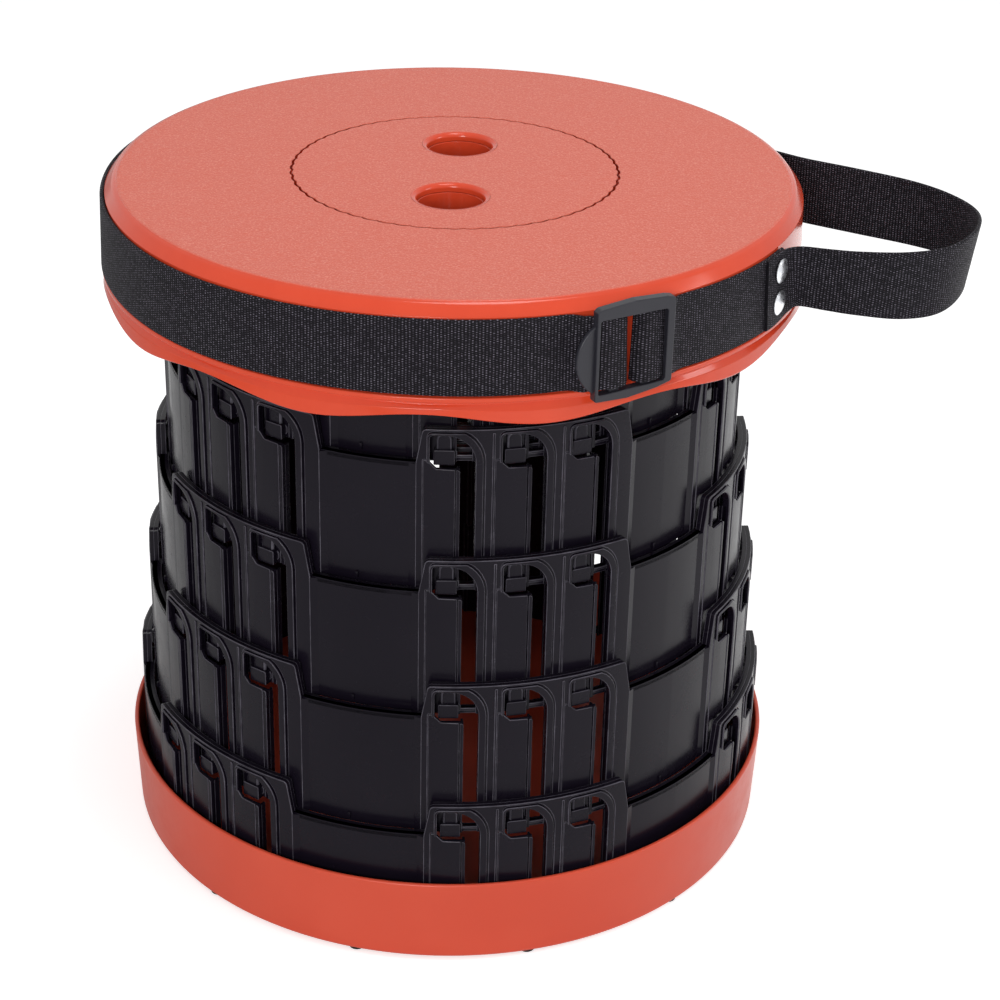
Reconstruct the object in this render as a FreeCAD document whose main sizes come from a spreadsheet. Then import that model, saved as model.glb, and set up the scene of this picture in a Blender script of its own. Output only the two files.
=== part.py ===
"""Collapsible telescopic stool: nine nested locking rings between a round seat and a tray base.

All sizes are millimetres. The floor is z = 0 and the stool's axis is the z axis. Angles are
measured about that axis from the front (-Y), growing towards the right (+X). The stool stands
as photographed: rings 1 to 5 are drawn out and locked, rings 6 to 9 are still nested under the seat.
"""
import FreeCAD, Part
import math
import os
import Sketcher

DRIVING_SIZES = {
    # Rings: every ring has the same section and the same angles, only the radius steps inwards.
    "ring_outer": 123.0,
    "ring_pitch": 5.0,
    "ring_height": 61.5,
    "ring_wall": 2.0,
    "panel_recess": 1.0,
    "castle_height": 13.0,
    "flange_depth": 3.7,
    "flange_thick": 2.0,
    "group_count": 6.0,
    "group_angle": 38.5,
    "group_top_angle": 35.0,
    "rib_angle": 1.3,
    "cell_count": 3.0,
    "cell_angle": 12.35,
    "first_cell_turn": 2.1,
    # One locking cell: window, tongue with the hidden channel, slot, raised strip and arch.
    "pocket_left": -4.825,
    "bead_left": -0.475,
    "slot_left": 0.125,
    "slot_right": 2.825,
    "strip_angle": 1.5,
    "relief": 0.8,
    "arch_relief": 0.5,
    "arch_radius": 10.0,
    "arch_band": 2.4,
    "tongue_inset": 1.0,
    "channel_floor": 46.9,
    "pocket_chamfer": 2.2,
    "window_top": 59.5,
    "slot_foot": 2.5,
    # Locking foot at each ring's lower edge, with a domed gusset over it.
    "foot_left": -4.575,
    "foot_right": -0.775,
    "foot_height": 5.5,
    "foot_reach": 3.6,
    "dome_width": 4.0,
    "dome_height": 5.2,
    "dome_reach": 2.6,
    "peg_angle": 0.6,
    "peg_low": 1.4,
    "peg_height": 2.5,
    "peg_reach": 0.9,
    # Heights of the standing stool.
    "ring_base": 5.0,
    "stage_lift": 47.5,
    "nest_step": 0.375,
    "seat_height": 262.0,
    # Fixing tabs on the innermost ring, their screws, and the bosses that take them.
    "tab_low": 53.5,
    "tab_thick": 2.0,
    "tab_inner": 69.0,
    "tab_angle": 9.0,
    "screw_circle": 74.0,
    "screw_radius": 1.5,
    "screw_head_radius": 3.0,
    "screw_head_thick": 2.0,
    "screw_depth": 8.0,
    "boss_radius": 4.0,
    # Tray base and its rubber feet.
    "tray_low": 1.0,
    "tray_rim": 34.8,
    "tray_low_radius": 125.6,
    "tray_rim_radius": 127.0,
    "tray_bore": 124.3,
    "tray_rim_bore": 125.2,
    "tray_corner": 2.0,
    "tray_ring_mark": 106.0,
    "tray_groove_depth": 0.6,
    "tray_groove_top": 11.2,
    "base_foot_reach": 1.75,
    "rubber_count": 12.0,
    "rubber_turn": 14.4,
    "rubber_circle": 121.6,
    "rubber_radius": 3.0,
    "rubber_stem_radius": 1.5,
    "rubber_stem_height": 2.4,
    # Seat: plate, skirt with a channel for the belt, wavy lower edge, centre well.
    "plate_thick": 4.0,
    "rim_radius": 125.0,
    "rim_round": 3.5,
    "skirt_bore": 124.6,
    "channel_top": 4.3,
    "channel_bottom": 31.4,
    "channel_top_radius": 126.6,
    "channel_bottom_radius": 127.5,
    "lip_radius": 128.4,
    "lip_height": 1.2,
    "hem_radius": 128.2,
    "skirt_depth": 42.0,
    "wave_height": 4.2,
    "wave_count": 10.0,
    "wave_turn": -4.0,
    "rib_count": 12.0,
    "rib_depth": 5.0,
    "rib_inner": 16.0,
    "rib_outer": 66.0,
    "well_radius": 59.9,
    "well_depth": 3.2,
    "well_floor": 3.0,
    # Centre cap with two finger holes.
    "cap_radius": 59.5,
    "cap_thick": 3.0,
    "finger_radius": 12.0,
    "finger_spacing": 27.75,
    "finger_turn": -3.2,
    "collar_wall": 2.0,
    "collar_depth": 11.0,
    "clip_circle": 45.0,
    "clip_width": 8.0,
    "clip_thick": 2.0,
    "clip_barb": 1.2,
    "clip_depth": 9.0,
    # Belt of flat webbing round the skirt.
    "belt_thick": 1.4,
    "belt_width": 26.4,
    "belt_top": 4.6,
    # Buckle: frame with two cross bars and a thumb tab.
    "buckle_turn": 26.75,
    "buckle_inner": 129.4,
    "buckle_thick": 3.4,
    "buckle_width": 30.4,
    "buckle_low": 227.6,
    "buckle_high": 260.2,
    "buckle_left_bar": 1.9,
    "buckle_right_bar": 3.0,
    "buckle_top_bar": 4.6,
    "buckle_low_bar": 2.6,
    "buckle_corner": 2.0,
    "buckle_tab_reach": 6.4,
    "buckle_tab_low": 230.5,
    "buckle_tab_high": 254.0,
    "buckle_tab_thick": 1.8,
    "cross_bar_thick": 2.0,
    "cross_bar_left": -6.3,
    "cross_bar_right": 5.9,
    "cross_bar_width": 4.0,
    "turn_left_half": 5.6,
    "turn_right_half": 3.9,
    "turn_outer": 133.6,
    # Rivets and the carry loop.
    "rivet_turn_front": 59.5,
    "rivet_turn_rear": 111.8,
    "rivet_radius": 4.4,
    "rivet_hole_radius": 1.6,
    "rivet_head_low": 130.7,
    "rivet_head_thick": 1.5,
    "rivet_lower": 239.2,
    "rivet_spacing": 11.8,
    "loop_thick": 1.5,
    "loop_low": 231.0,
    "loop_high": 257.0,
    "loop_start_turn": 56.0,
    "loop_leave_turn": 61.9,
    "loop_return_turn": 109.4,
    "loop_end_turn": 114.6,
    "loop_lie_radius": 129.85,
}

NESTED_FROM = 6
RING_COUNT = 9

doc = FreeCAD.newDocument("TelescopicStool")
sizes = doc.addObject("Spreadsheet::Sheet", "Sizes")
for row, (alias, size) in enumerate(DRIVING_SIZES.items(), start=1):
    sizes.set(f"A{row}", alias)
    sizes.set(f"B{row}", str(size))
    sizes.setAlias(f"B{row}", alias)
doc.recompute()


def number(expression):
    """Return what an expression of the sheet's cells comes to."""
    value = sizes.evalExpression(expression)
    return float(getattr(value, "Value", value))


def cell(name):
    """Return the expression that reads one driving size."""
    return f"Sizes.{name}"


def new_body(label, height="0", turn="0"):
    """Start a body that stands at a height and is turned about the stool's axis."""
    body = doc.addObject("PartDesign::Body", label)
    body.Label = label
    body.Placement = FreeCAD.Placement(
        FreeCAD.Vector(0, 0, number(height)), FreeCAD.Rotation(FreeCAD.Vector(0, 0, 1), number(turn))
    )
    body.setExpression("Placement.Base.z", height)
    if turn != "0":
        body.setExpression("Placement.Rotation.Angle", f"({turn}) * 1 deg")
    return body


def new_sketch(body, name, role="XZ_Plane", turn="0", out="0"):
    """Attach a sketch to one of the body's own planes, turned about its y axis and moved out."""
    plane = next(item for item in body.Origin.OriginFeatures if item.Role == role)
    sketch = body.newObject("Sketcher::SketchObject", name)
    sketch.AttachmentSupport = [(plane, "")]
    sketch.MapMode = "FlatFace"
    if turn != "0":
        start = FreeCAD.Rotation(FreeCAD.Vector(0, 1, 0), number(turn))
        sketch.AttachmentOffset = FreeCAD.Placement(FreeCAD.Vector(0, 0, 0), start)
        sketch.setExpression("AttachmentOffset.Rotation.Angle", f"({turn}) * 1 deg")
    if out != "0":
        sketch.setExpression("AttachmentOffset.Base.z", out)
    return sketch


def draw_outline(sketch, corners):
    """Draw a closed outline through corners given as expressions.

    A corner is (across, up) where a straight edge leaves it, or (across, up, radius) where an arc
    does. A positive radius bulges to the right of the way round, a negative one to the left.
    """
    points = [FreeCAD.Vector(number(corner[0]), number(corner[1]), 0) for corner in corners]
    edges = []
    ends = []
    for index, corner in enumerate(corners):
        start = points[index]
        stop = points[(index + 1) % len(points)]
        if len(corner) == 2:
            edges.append(sketch.addGeometry(Part.LineSegment(start, stop)))
            ends.append((1, 2))
            continue
        radius = number(corner[2])
        side = 1 if radius > 0 else -1
        chord = stop - start
        across = FreeCAD.Vector(-chord.y, chord.x, 0).normalize() * side
        rise = math.sqrt(max(radius * radius - chord.Length * chord.Length / 4, 0))
        centre = (start + stop) * 0.5 + across * rise
        edges.append(sketch.addGeometry(Part.Arc(start, centre - across * abs(radius), stop)))
        ends.append((1, 2) if radius > 0 else (2, 1))
    for index, corner in enumerate(corners):
        after = (index + 1) % len(corners)
        joined = Sketcher.Constraint("Coincident", edges[index], ends[index][1], edges[after], ends[after][0])
        sketch.addConstraint(joined)
    for index, corner in enumerate(corners):
        for kind, expression, place in (
            ("DistanceX", corner[0], points[index].x),
            ("DistanceY", corner[1], points[index].y),
        ):
            held = Sketcher.Constraint(kind, -1, 1, edges[index], ends[index][0], place)
            sketch.setExpression(f"Constraints[{sketch.addConstraint(held)}]", expression)
        if len(corner) > 2:
            bend = Sketcher.Constraint("Radius", edges[index], abs(number(corner[2])))
            sketch.setExpression(f"Constraints[{sketch.addConstraint(bend)}]", f"abs({corner[2]})")


def draw_box(sketch, left, right, low, high):
    """Draw a rectangle from its four sides."""
    draw_outline(sketch, [(left, low), (right, low), (right, high), (left, high)])


def draw_circle(sketch, across, up, radius):
    """Draw a circle at a place given as expressions."""
    centre = FreeCAD.Vector(number(across), number(up), 0)
    edge = sketch.addGeometry(Part.Circle(centre, FreeCAD.Vector(0, 0, 1), number(radius)))
    for kind, expression, place in (("DistanceX", across, centre.x), ("DistanceY", up, centre.y)):
        held = Sketcher.Constraint(kind, -1, 1, edge, 3, place)
        sketch.setExpression(f"Constraints[{sketch.addConstraint(held)}]", expression)
    size = Sketcher.Constraint("Radius", edge, number(radius))
    sketch.setExpression(f"Constraints[{sketch.addConstraint(size)}]", radius)


def revolve(body, name, sketch, angle="360", cut=False):
    """Turn a profile about the body's z axis, half the angle to each side of the sketch."""
    feature = body.newObject("PartDesign::Groove" if cut else "PartDesign::Revolution", name)
    feature.Profile = sketch
    feature.ReferenceAxis = (sketch, ["V_Axis"])
    feature.Midplane = True
    feature.setExpression("Angle", f"({angle}) * 1 deg")
    return feature


def sector(body, name, left, right, inner, outer, low, high, cut=False):
    """Add or cut the part of a tube that lies between two angles."""
    sketch = new_sketch(body, f"{name}_profile", turn=f"({left} + {right}) / 2 - 90")
    draw_box(sketch, inner, outer, low, high)
    return revolve(body, name, sketch, f"{right} - {left}", cut)


def pad(body, name, sketch, length, reverse=False):
    """Raise a sketch to a length."""
    feature = body.newObject("PartDesign::Pad", name)
    feature.Profile = sketch
    feature.Reversed = reverse
    feature.setExpression("Length", length)
    return feature


def pocket(body, name, sketch, length, reverse=False):
    """Sink a sketch into the body by a length."""
    feature = body.newObject("PartDesign::Pocket", name)
    feature.Profile = sketch
    feature.Reversed = reverse
    feature.setExpression("Length", length)
    return feature


def repeat_round(body, name, originals, count, angle="360", axis=None):
    """Repeat features round the z axis, or the whole body where no features are named."""
    doc.recompute()
    pattern = body.newObject("PartDesign::PolarPattern", name)
    if originals:
        pattern.Originals = originals
    else:
        pattern.TransformMode = "Whole shape"
    pattern.Axis = (axis, ["V_Axis"])
    pattern.setExpression("Angle", f"({angle}) * 1 deg")
    pattern.setExpression("Occurrences", count)
    body.Tip = pattern
    return pattern


def ring_radius(ring):
    """Return the expression of a ring's outer radius on its raised groups; ring 1 is the lowest."""
    return f"(Sizes.ring_outer - {ring - 1} * Sizes.ring_pitch)"


def ring_low(ring):
    """Return the expression of the height of a ring's lower edge as the stool stands."""
    drawn = min(ring, NESTED_FROM - 1) - 1
    nested = max(ring - NESTED_FROM + 1, 0)
    return f"Sizes.ring_base + {drawn} * Sizes.stage_lift + {nested} * Sizes.nest_step"


def add_ring_shell(body, radius):
    """Build a sixth of the plain ring: recessed panel, raised group, inner relief, slanted shoulders."""
    centre = "Sizes.cell_angle"
    ledge = "(Sizes.ring_height - Sizes.castle_height)"
    panel = f"({radius} - Sizes.panel_recess)"
    sketch = new_sketch(body, "panel_profile", turn=f"{centre} - 90")
    draw_outline(
        sketch,
        [
            (f"{panel} - Sizes.ring_wall", "0"),
            (panel, "0"),
            (panel, ledge),
            (f"{panel} - Sizes.flange_depth", ledge),
            (f"{panel} - Sizes.flange_depth", f"{ledge} - Sizes.flange_thick"),
            (f"{panel} - Sizes.ring_wall", f"{ledge} - Sizes.flange_thick"),
        ],
    )
    revolve(body, "panel", sketch, "360 / Sizes.group_count")
    half = "Sizes.group_angle / 2"
    left = f"({centre} - {half})"
    right = f"({centre} + {half})"
    sector(body, "group", left, right, f"{radius} - Sizes.flange_depth", radius, "0", "Sizes.ring_height")
    sector(
        body, "relief", f"({left} + Sizes.rib_angle)", f"({right} - Sizes.rib_angle)",
        f"{radius} - Sizes.flange_depth - 1", f"{radius} - Sizes.ring_wall",
        "-1", "Sizes.ring_height - Sizes.flange_thick", cut=True,
    )
    sketch = new_sketch(body, "shoulder_profile", turn=centre)
    low = f"{radius} * sin({half} * 1 deg)"
    high = f"{radius} * sin(Sizes.group_top_angle / 2 * 1 deg)"
    for side in ("", "-"):
        draw_outline(
            sketch,
            [
                (f"{side}({low} + 4)", ledge),
                (f"{side}({low})", ledge),
                (f"{side}({high})", "Sizes.ring_height + 1"),
                (f"{side}({low} + 4)", "Sizes.ring_height + 1"),
            ],
        )
    pocket(body, "shoulders", sketch, f"{radius} + 10", reverse=True)


def add_peg(body, radius):
    """Add the detent peg low on the panel, which rides just above the next ring's ledge."""
    middle = "Sizes.cell_angle + 180 / Sizes.group_count - 2"
    panel = f"{radius} - Sizes.panel_recess"
    sector(
        body, "peg", f"({middle} - Sizes.peg_angle / 2)", f"({middle} + Sizes.peg_angle / 2)",
        f"{panel} - 0.5", f"{panel} + Sizes.peg_reach", "Sizes.peg_low", "Sizes.peg_low + Sizes.peg_height",
    )


def add_cells(body, radius, foot_reach, has_dome):
    """Build the first locking cell and repeat it across the group."""
    root = f"{radius} - Sizes.tongue_inset"
    proud = f"{radius} + Sizes.relief"
    arch_foot = "Sizes.window_top - Sizes.arch_radius"
    strip_right = "(Sizes.slot_right + Sizes.strip_angle)"
    floor = cell("channel_floor")
    tongue = sector(body, "tongue", cell("pocket_left"), cell("slot_left"), root, proud, "0", floor)
    strip = sector(body, "strip", cell("slot_right"), strip_right, root, proud, "0", arch_foot)
    foot = sector(
        body, "foot", cell("foot_left"), cell("foot_right"), root, f"{radius} + {foot_reach}", "0", cell("foot_height")
    )
    features = [tongue, strip, foot]
    slot_right = f"{radius} * sin(Sizes.slot_right * 1 deg)"
    slot_left = f"{radius} * sin(Sizes.slot_left * 1 deg)"
    pocket_left = f"{radius} * sin(Sizes.pocket_left * 1 deg)"
    crown = f"{slot_right} - Sizes.arch_radius"

    arch_sketch = new_sketch(body, "arch_profile", out=f"{radius} - Sizes.arch_relief")
    draw_outline(
        arch_sketch,
        [
            (crown, arch_foot),
            (f"{slot_right} + Sizes.arch_band", arch_foot, "Sizes.arch_radius + Sizes.arch_band"),
            (crown, "Sizes.ring_height - 0.1"),
        ],
    )
    features.append(pad(body, "arch", arch_sketch, "2 * Sizes.arch_relief"))

    if has_dome:
        middle = f"{radius} * sin((Sizes.foot_left + Sizes.foot_right) / 2 * 1 deg)"
        half = "Sizes.dome_width / 2"
        shoulder = f"Sizes.foot_height + Sizes.dome_height - {half}"
        dome_sketch = new_sketch(body, "dome_profile", out=root)
        draw_outline(
            dome_sketch,
            [
                (f"{middle} - {half}", "Sizes.foot_height - 1"),
                (f"{middle} + {half}", "Sizes.foot_height - 1"),
                (f"{middle} + {half}", shoulder, half),
                (middle, "Sizes.foot_height + Sizes.dome_height", half),
                (f"{middle} - {half}", shoulder),
            ],
        )
        features.append(pad(body, "dome", dome_sketch, "Sizes.tongue_inset + Sizes.dome_reach"))

    window_sketch = new_sketch(body, "window_profile")
    draw_outline(
        window_sketch,
        [
            (pocket_left, f"{floor} + Sizes.pocket_chamfer"),
            (f"{pocket_left} + Sizes.pocket_chamfer", floor),
            (slot_left, floor),
            (slot_left, cell("slot_foot")),
            (slot_right, cell("slot_foot")),
            (slot_right, arch_foot, cell("arch_radius")),
            (crown, cell("window_top")),
            (pocket_left, cell("window_top")),
        ],
    )
    features.append(pocket(body, "window", window_sketch, f"{radius} + 10", reverse=True))
    features.append(
        sector(
            body, "channel", cell("pocket_left"), cell("bead_left"),
            f"{radius} - Sizes.ring_wall - 1", root, "-1", f"{floor} + Sizes.pocket_chamfer + 0.1", cut=True,
        )
    )
    span = "(Sizes.cell_count - 1) * Sizes.cell_angle"
    repeat_round(body, "cells", features, cell("cell_count"), span, axis=window_sketch)
    return window_sketch


def build_ring(ring):
    """Build one ring; ring 1 is fixed in the tray and the innermost ring carries the seat."""
    body = new_body(f"ring_{ring}", ring_low(ring), cell("first_cell_turn"))
    radius = ring_radius(ring)
    add_ring_shell(body, radius)
    is_lowest = ring == 1
    if not is_lowest:
        add_peg(body, radius)
    reach = cell("base_foot_reach") if is_lowest else cell("foot_reach")
    axis = add_cells(body, radius, reach, not is_lowest)
    if ring == RING_COUNT:
        middle = "Sizes.cell_angle"
        sector(
            body, "tab", f"({middle} - Sizes.tab_angle / 2)", f"({middle} + Sizes.tab_angle / 2)",
            cell("tab_inner"), f"{radius} - Sizes.ring_wall + 0.5", cell("tab_low"), "Sizes.tab_low + Sizes.tab_thick",
        )
        hole = new_sketch(body, "tab_hole", role="XY_Plane")
        draw_circle(
            hole, f"Sizes.screw_circle * sin({middle} * 1 deg)", f"-Sizes.screw_circle * cos({middle} * 1 deg)",
            "Sizes.screw_radius + 0.2",
        )
        pocket(body, "tab_bore", hole, "Sizes.ring_height", reverse=True)
    repeat_round(body, "around", [], cell("group_count"), axis=axis)
    return body


def build_tray():
    """Build the tray base: floor with a ring groove below, drafted wall, snap groove and foot sockets."""
    body = new_body("base_tray")
    sketch = new_sketch(body, "tray_profile")
    corner = cell("tray_corner")
    draw_outline(
        sketch,
        [
            ("0", "Sizes.tray_low"),
            ("Sizes.tray_ring_mark - 1", "Sizes.tray_low"),
            ("Sizes.tray_ring_mark", "Sizes.tray_low + 0.4"),
            ("Sizes.tray_ring_mark + 1", "Sizes.tray_low"),
            (f"Sizes.tray_low_radius - {corner}", "Sizes.tray_low", corner),
            ("Sizes.tray_low_radius", f"Sizes.tray_low + {corner}"),
            ("Sizes.tray_rim_radius", "Sizes.tray_rim"),
            ("Sizes.tray_rim_bore", "Sizes.tray_rim"),
            ("Sizes.tray_bore", "Sizes.tray_groove_top + 3"),
            ("Sizes.tray_bore", "Sizes.tray_groove_top"),
            ("Sizes.tray_bore + Sizes.tray_groove_depth", "Sizes.tray_groove_top - 0.4"),
            ("Sizes.tray_bore + Sizes.tray_groove_depth", "Sizes.ring_base"),
            ("0", "Sizes.ring_base"),
        ],
    )
    revolve(body, "tray", sketch)
    holes = new_sketch(body, "socket_circle", role="XY_Plane")
    draw_circle(
        holes, "Sizes.rubber_circle * sin(Sizes.rubber_turn * 1 deg)",
        "-Sizes.rubber_circle * cos(Sizes.rubber_turn * 1 deg)", cell("rubber_stem_radius"),
    )
    socket = pocket(body, "socket", holes, "Sizes.tray_low + Sizes.rubber_stem_height", reverse=True)
    repeat_round(body, "sockets", [socket], cell("rubber_count"), axis=sketch)
    return body


def build_rubber_foot(index):
    """Build one push-in rubber foot under the tray."""
    turn = f"(Sizes.rubber_turn + {index} * 360 / Sizes.rubber_count)"
    body = new_body(f"rubber_foot_{index + 1}")
    body.setExpression("Placement.Base.x", f"Sizes.rubber_circle * sin({turn} * 1 deg)")
    body.setExpression("Placement.Base.y", f"-Sizes.rubber_circle * cos({turn} * 1 deg)")
    sketch = new_sketch(body, "foot_profile")
    stem_top = "Sizes.tray_low + Sizes.rubber_stem_height"
    draw_outline(
        sketch,
        [
            ("0", "0"),
            ("Sizes.rubber_radius - 0.3", "0"),
            ("Sizes.rubber_radius", "0.3"),
            ("Sizes.rubber_radius", "Sizes.tray_low"),
            ("Sizes.rubber_stem_radius", "Sizes.tray_low"),
            ("Sizes.rubber_stem_radius", stem_top),
            ("0", stem_top),
        ],
    )
    revolve(body, "foot", sketch)
    return body


def finger_place(side):
    """Return the place of a finger hole, side being "" for the rear one and "-" for the front one."""
    return (
        f"{side}(-Sizes.finger_spacing * sin(Sizes.finger_turn * 1 deg))",
        f"{side}(Sizes.finger_spacing * cos(Sizes.finger_turn * 1 deg))",
    )


def add_seat_shell(body):
    """Build the seat's plate, rounded rim, belt channel, skirt and centre well in one profile."""
    sketch = new_sketch(body, "seat_profile")
    draw_outline(
        sketch,
        [
            ("Sizes.well_radius", "0"),
            ("Sizes.well_radius", "-Sizes.well_depth"),
            ("0", "-Sizes.well_depth"),
            ("0", "-Sizes.well_depth - Sizes.well_floor"),
            ("Sizes.well_radius + 2.5", "-Sizes.well_depth - Sizes.well_floor"),
            ("Sizes.well_radius + 2.5", "-Sizes.plate_thick"),
            ("Sizes.skirt_bore", "-Sizes.plate_thick"),
            ("Sizes.skirt_bore", "-Sizes.skirt_depth"),
            ("Sizes.hem_radius", "-Sizes.skirt_depth"),
            ("Sizes.hem_radius", "-Sizes.channel_bottom - Sizes.lip_height - 0.6"),
            ("Sizes.lip_radius", "-Sizes.channel_bottom - Sizes.lip_height"),
            ("Sizes.lip_radius", "-Sizes.channel_bottom"),
            ("Sizes.channel_bottom_radius", "-Sizes.channel_bottom"),
            ("Sizes.channel_top_radius", "-Sizes.channel_top"),
            ("Sizes.rim_radius", "-Sizes.rim_round", "Sizes.rim_round"),
            ("Sizes.rim_radius - Sizes.rim_round", "0"),
        ],
    )
    revolve(body, "shell", sketch)
    return sketch


def add_wavy_hem(body, axis):
    """Cut the skirt's lower edge to a wave: each quarter wave is one arc."""
    reach = "(Sizes.hem_radius * sin(180 / Sizes.wave_count * 1 deg))"
    rise = "(Sizes.wave_height / 2)"
    bend = f"(({reach} / 2) ^ 2 + {rise} ^ 2) / Sizes.wave_height"
    low = "-Sizes.skirt_depth"
    middle = f"{low} + {rise}"
    sketch = new_sketch(body, "wave_profile", turn=cell("wave_turn"))
    draw_outline(
        sketch,
        [
            (reach, low, f"-({bend})"),
            (f"{reach} / 2", middle, bend),
            ("0", f"{low} + Sizes.wave_height", bend),
            (f"-{reach} / 2", middle, f"-({bend})"),
            (f"-{reach}", low),
            (f"-{reach}", f"{low} - 2"),
            (reach, f"{low} - 2"),
        ],
    )
    wave = pocket(body, "wave", sketch, "Sizes.hem_radius + 10", reverse=True)
    repeat_round(body, "waves", [wave], cell("wave_count"), axis=axis)


def add_seat_underside(body, axis):
    """Add the stiffening ribs, the screw bosses and the finger collars under the seat's plate."""
    rib_sketch = new_sketch(body, "rib_profile", turn="-90 + 7.5")
    draw_box(rib_sketch, "Sizes.rib_inner", "Sizes.rib_outer", "-Sizes.well_depth - Sizes.well_floor - Sizes.rib_depth",
             "-Sizes.well_depth - Sizes.well_floor + 0.5")
    rib = pad(body, "rib", rib_sketch, "2")
    rib.Midplane = True
    boss_top = "-Sizes.plate_thick + 0.5"
    tab_top = f"({ring_low(RING_COUNT)} + Sizes.tab_low + Sizes.tab_thick - Sizes.seat_height)"
    boss_turn = "(Sizes.first_cell_turn + Sizes.cell_angle)"
    place = (f"Sizes.screw_circle * sin({boss_turn} * 1 deg)", f"-Sizes.screw_circle * cos({boss_turn} * 1 deg)")
    boss_sketch = new_sketch(body, "boss_profile", role="XY_Plane", out=tab_top)
    draw_circle(boss_sketch, place[0], place[1], cell("boss_radius"))
    boss = pad(body, "boss", boss_sketch, f"{boss_top} - {tab_top}")
    bore_sketch = new_sketch(body, "bore_profile", role="XY_Plane", out=tab_top)
    draw_circle(bore_sketch, place[0], place[1], cell("screw_radius"))
    bore = pocket(body, "bore", bore_sketch, "Sizes.screw_depth", reverse=True)
    repeat_round(body, "ribs", [rib], cell("rib_count"), axis=axis)
    repeat_round(body, "bosses", [boss, bore], cell("group_count"), axis=axis)
    collar_sketch = new_sketch(body, "collar_profile", role="XY_Plane", out="-Sizes.collar_depth")
    hole_sketch = new_sketch(body, "finger_profile", role="XY_Plane", out="-Sizes.collar_depth - 1")
    clip_sketch = new_sketch(body, "clip_slots", role="XY_Plane", out="-Sizes.collar_depth - 1")
    for side in ("", "-"):
        across, up = finger_place(side)
        draw_circle(collar_sketch, across, up, "Sizes.finger_radius + Sizes.collar_wall")
        draw_circle(hole_sketch, across, up, cell("finger_radius"))
        draw_box(
            clip_sketch, f"{side}(Sizes.clip_circle - Sizes.clip_thick / 2 - 0.2)",
            f"{side}(Sizes.clip_circle + Sizes.clip_thick / 2 + Sizes.clip_barb + 0.2)",
            "-Sizes.clip_width / 2 - 0.2", "Sizes.clip_width / 2 + 0.2",
        )
    pad(body, "collars", collar_sketch, "Sizes.collar_depth - Sizes.cap_thick - 0.1")
    pocket(body, "finger_holes", hole_sketch, "Sizes.collar_depth + 2", reverse=True)
    pocket(body, "clip_holes", clip_sketch, "Sizes.collar_depth + 2", reverse=True)


def build_seat():
    """Build the seat moulding, drawn downwards from its upper face."""
    body = new_body("seat_top", cell("seat_height"))
    axis = add_seat_shell(body)
    add_wavy_hem(body, axis)
    add_seat_underside(body, axis)
    return body


def build_centre_cap():
    """Build the cap that closes the seat's centre, with two finger holes and two snap clips."""
    body = new_body("centre_cap", cell("seat_height"))
    disc_sketch = new_sketch(body, "disc_profile", role="XY_Plane", out="-Sizes.cap_thick")
    draw_circle(disc_sketch, "0", "0", cell("cap_radius"))
    pad(body, "disc", disc_sketch, cell("cap_thick"))
    hole_sketch = new_sketch(body, "finger_profile", role="XY_Plane", out="-Sizes.cap_thick - 1")
    for side in ("", "-"):
        across, up = finger_place(side)
        draw_circle(hole_sketch, across, up, cell("finger_radius"))
    pocket(body, "finger_holes", hole_sketch, "Sizes.cap_thick + 2", reverse=True)
    clip_sketch = new_sketch(body, "clip_profile")
    inner = "Sizes.clip_circle - Sizes.clip_thick / 2"
    outer = "Sizes.clip_circle + Sizes.clip_thick / 2"
    floor_low = "-Sizes.well_depth - Sizes.well_floor"
    for side in ("", "-"):
        draw_outline(
            clip_sketch,
            [
                (f"{side}({inner})", "-Sizes.cap_thick + 0.2"),
                (f"{side}({inner})", "-Sizes.clip_depth"),
                (f"{side}({outer})", "-Sizes.clip_depth"),
                (f"{side}({outer} + Sizes.clip_barb)", f"{floor_low} - 0.8"),
                (f"{side}({outer} + Sizes.clip_barb)", f"{floor_low} - 0.1"),
                (f"{side}({outer})", f"{floor_low} - 0.1"),
                (f"{side}({outer})", "-Sizes.cap_thick + 0.2"),
            ],
        )
    clips = pad(body, "clips", clip_sketch, cell("clip_width"))
    clips.Midplane = True
    return body


def build_seat_screws():
    """Build the six screws that hold the innermost ring's tabs to the seat's bosses."""
    tab_bottom = f"{ring_low(RING_COUNT)} + Sizes.tab_low"
    body = new_body("seat_screws", tab_bottom, "Sizes.first_cell_turn + Sizes.cell_angle")
    head_sketch = new_sketch(body, "head_profile", role="XY_Plane", out="-Sizes.screw_head_thick")
    draw_circle(head_sketch, "0", "-Sizes.screw_circle", cell("screw_head_radius"))
    head = pad(body, "head", head_sketch, cell("screw_head_thick"))
    shank_sketch = new_sketch(body, "shank_profile", role="XY_Plane", out="-0.5")
    draw_circle(shank_sketch, "0", "-Sizes.screw_circle", cell("screw_radius"))
    shank = pad(body, "shank", shank_sketch, "Sizes.tab_thick + Sizes.screw_depth")
    axis = new_sketch(body, "axis_profile")
    repeat_round(body, "screws", [head, shank], cell("group_count"), axis=axis)
    return body


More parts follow.
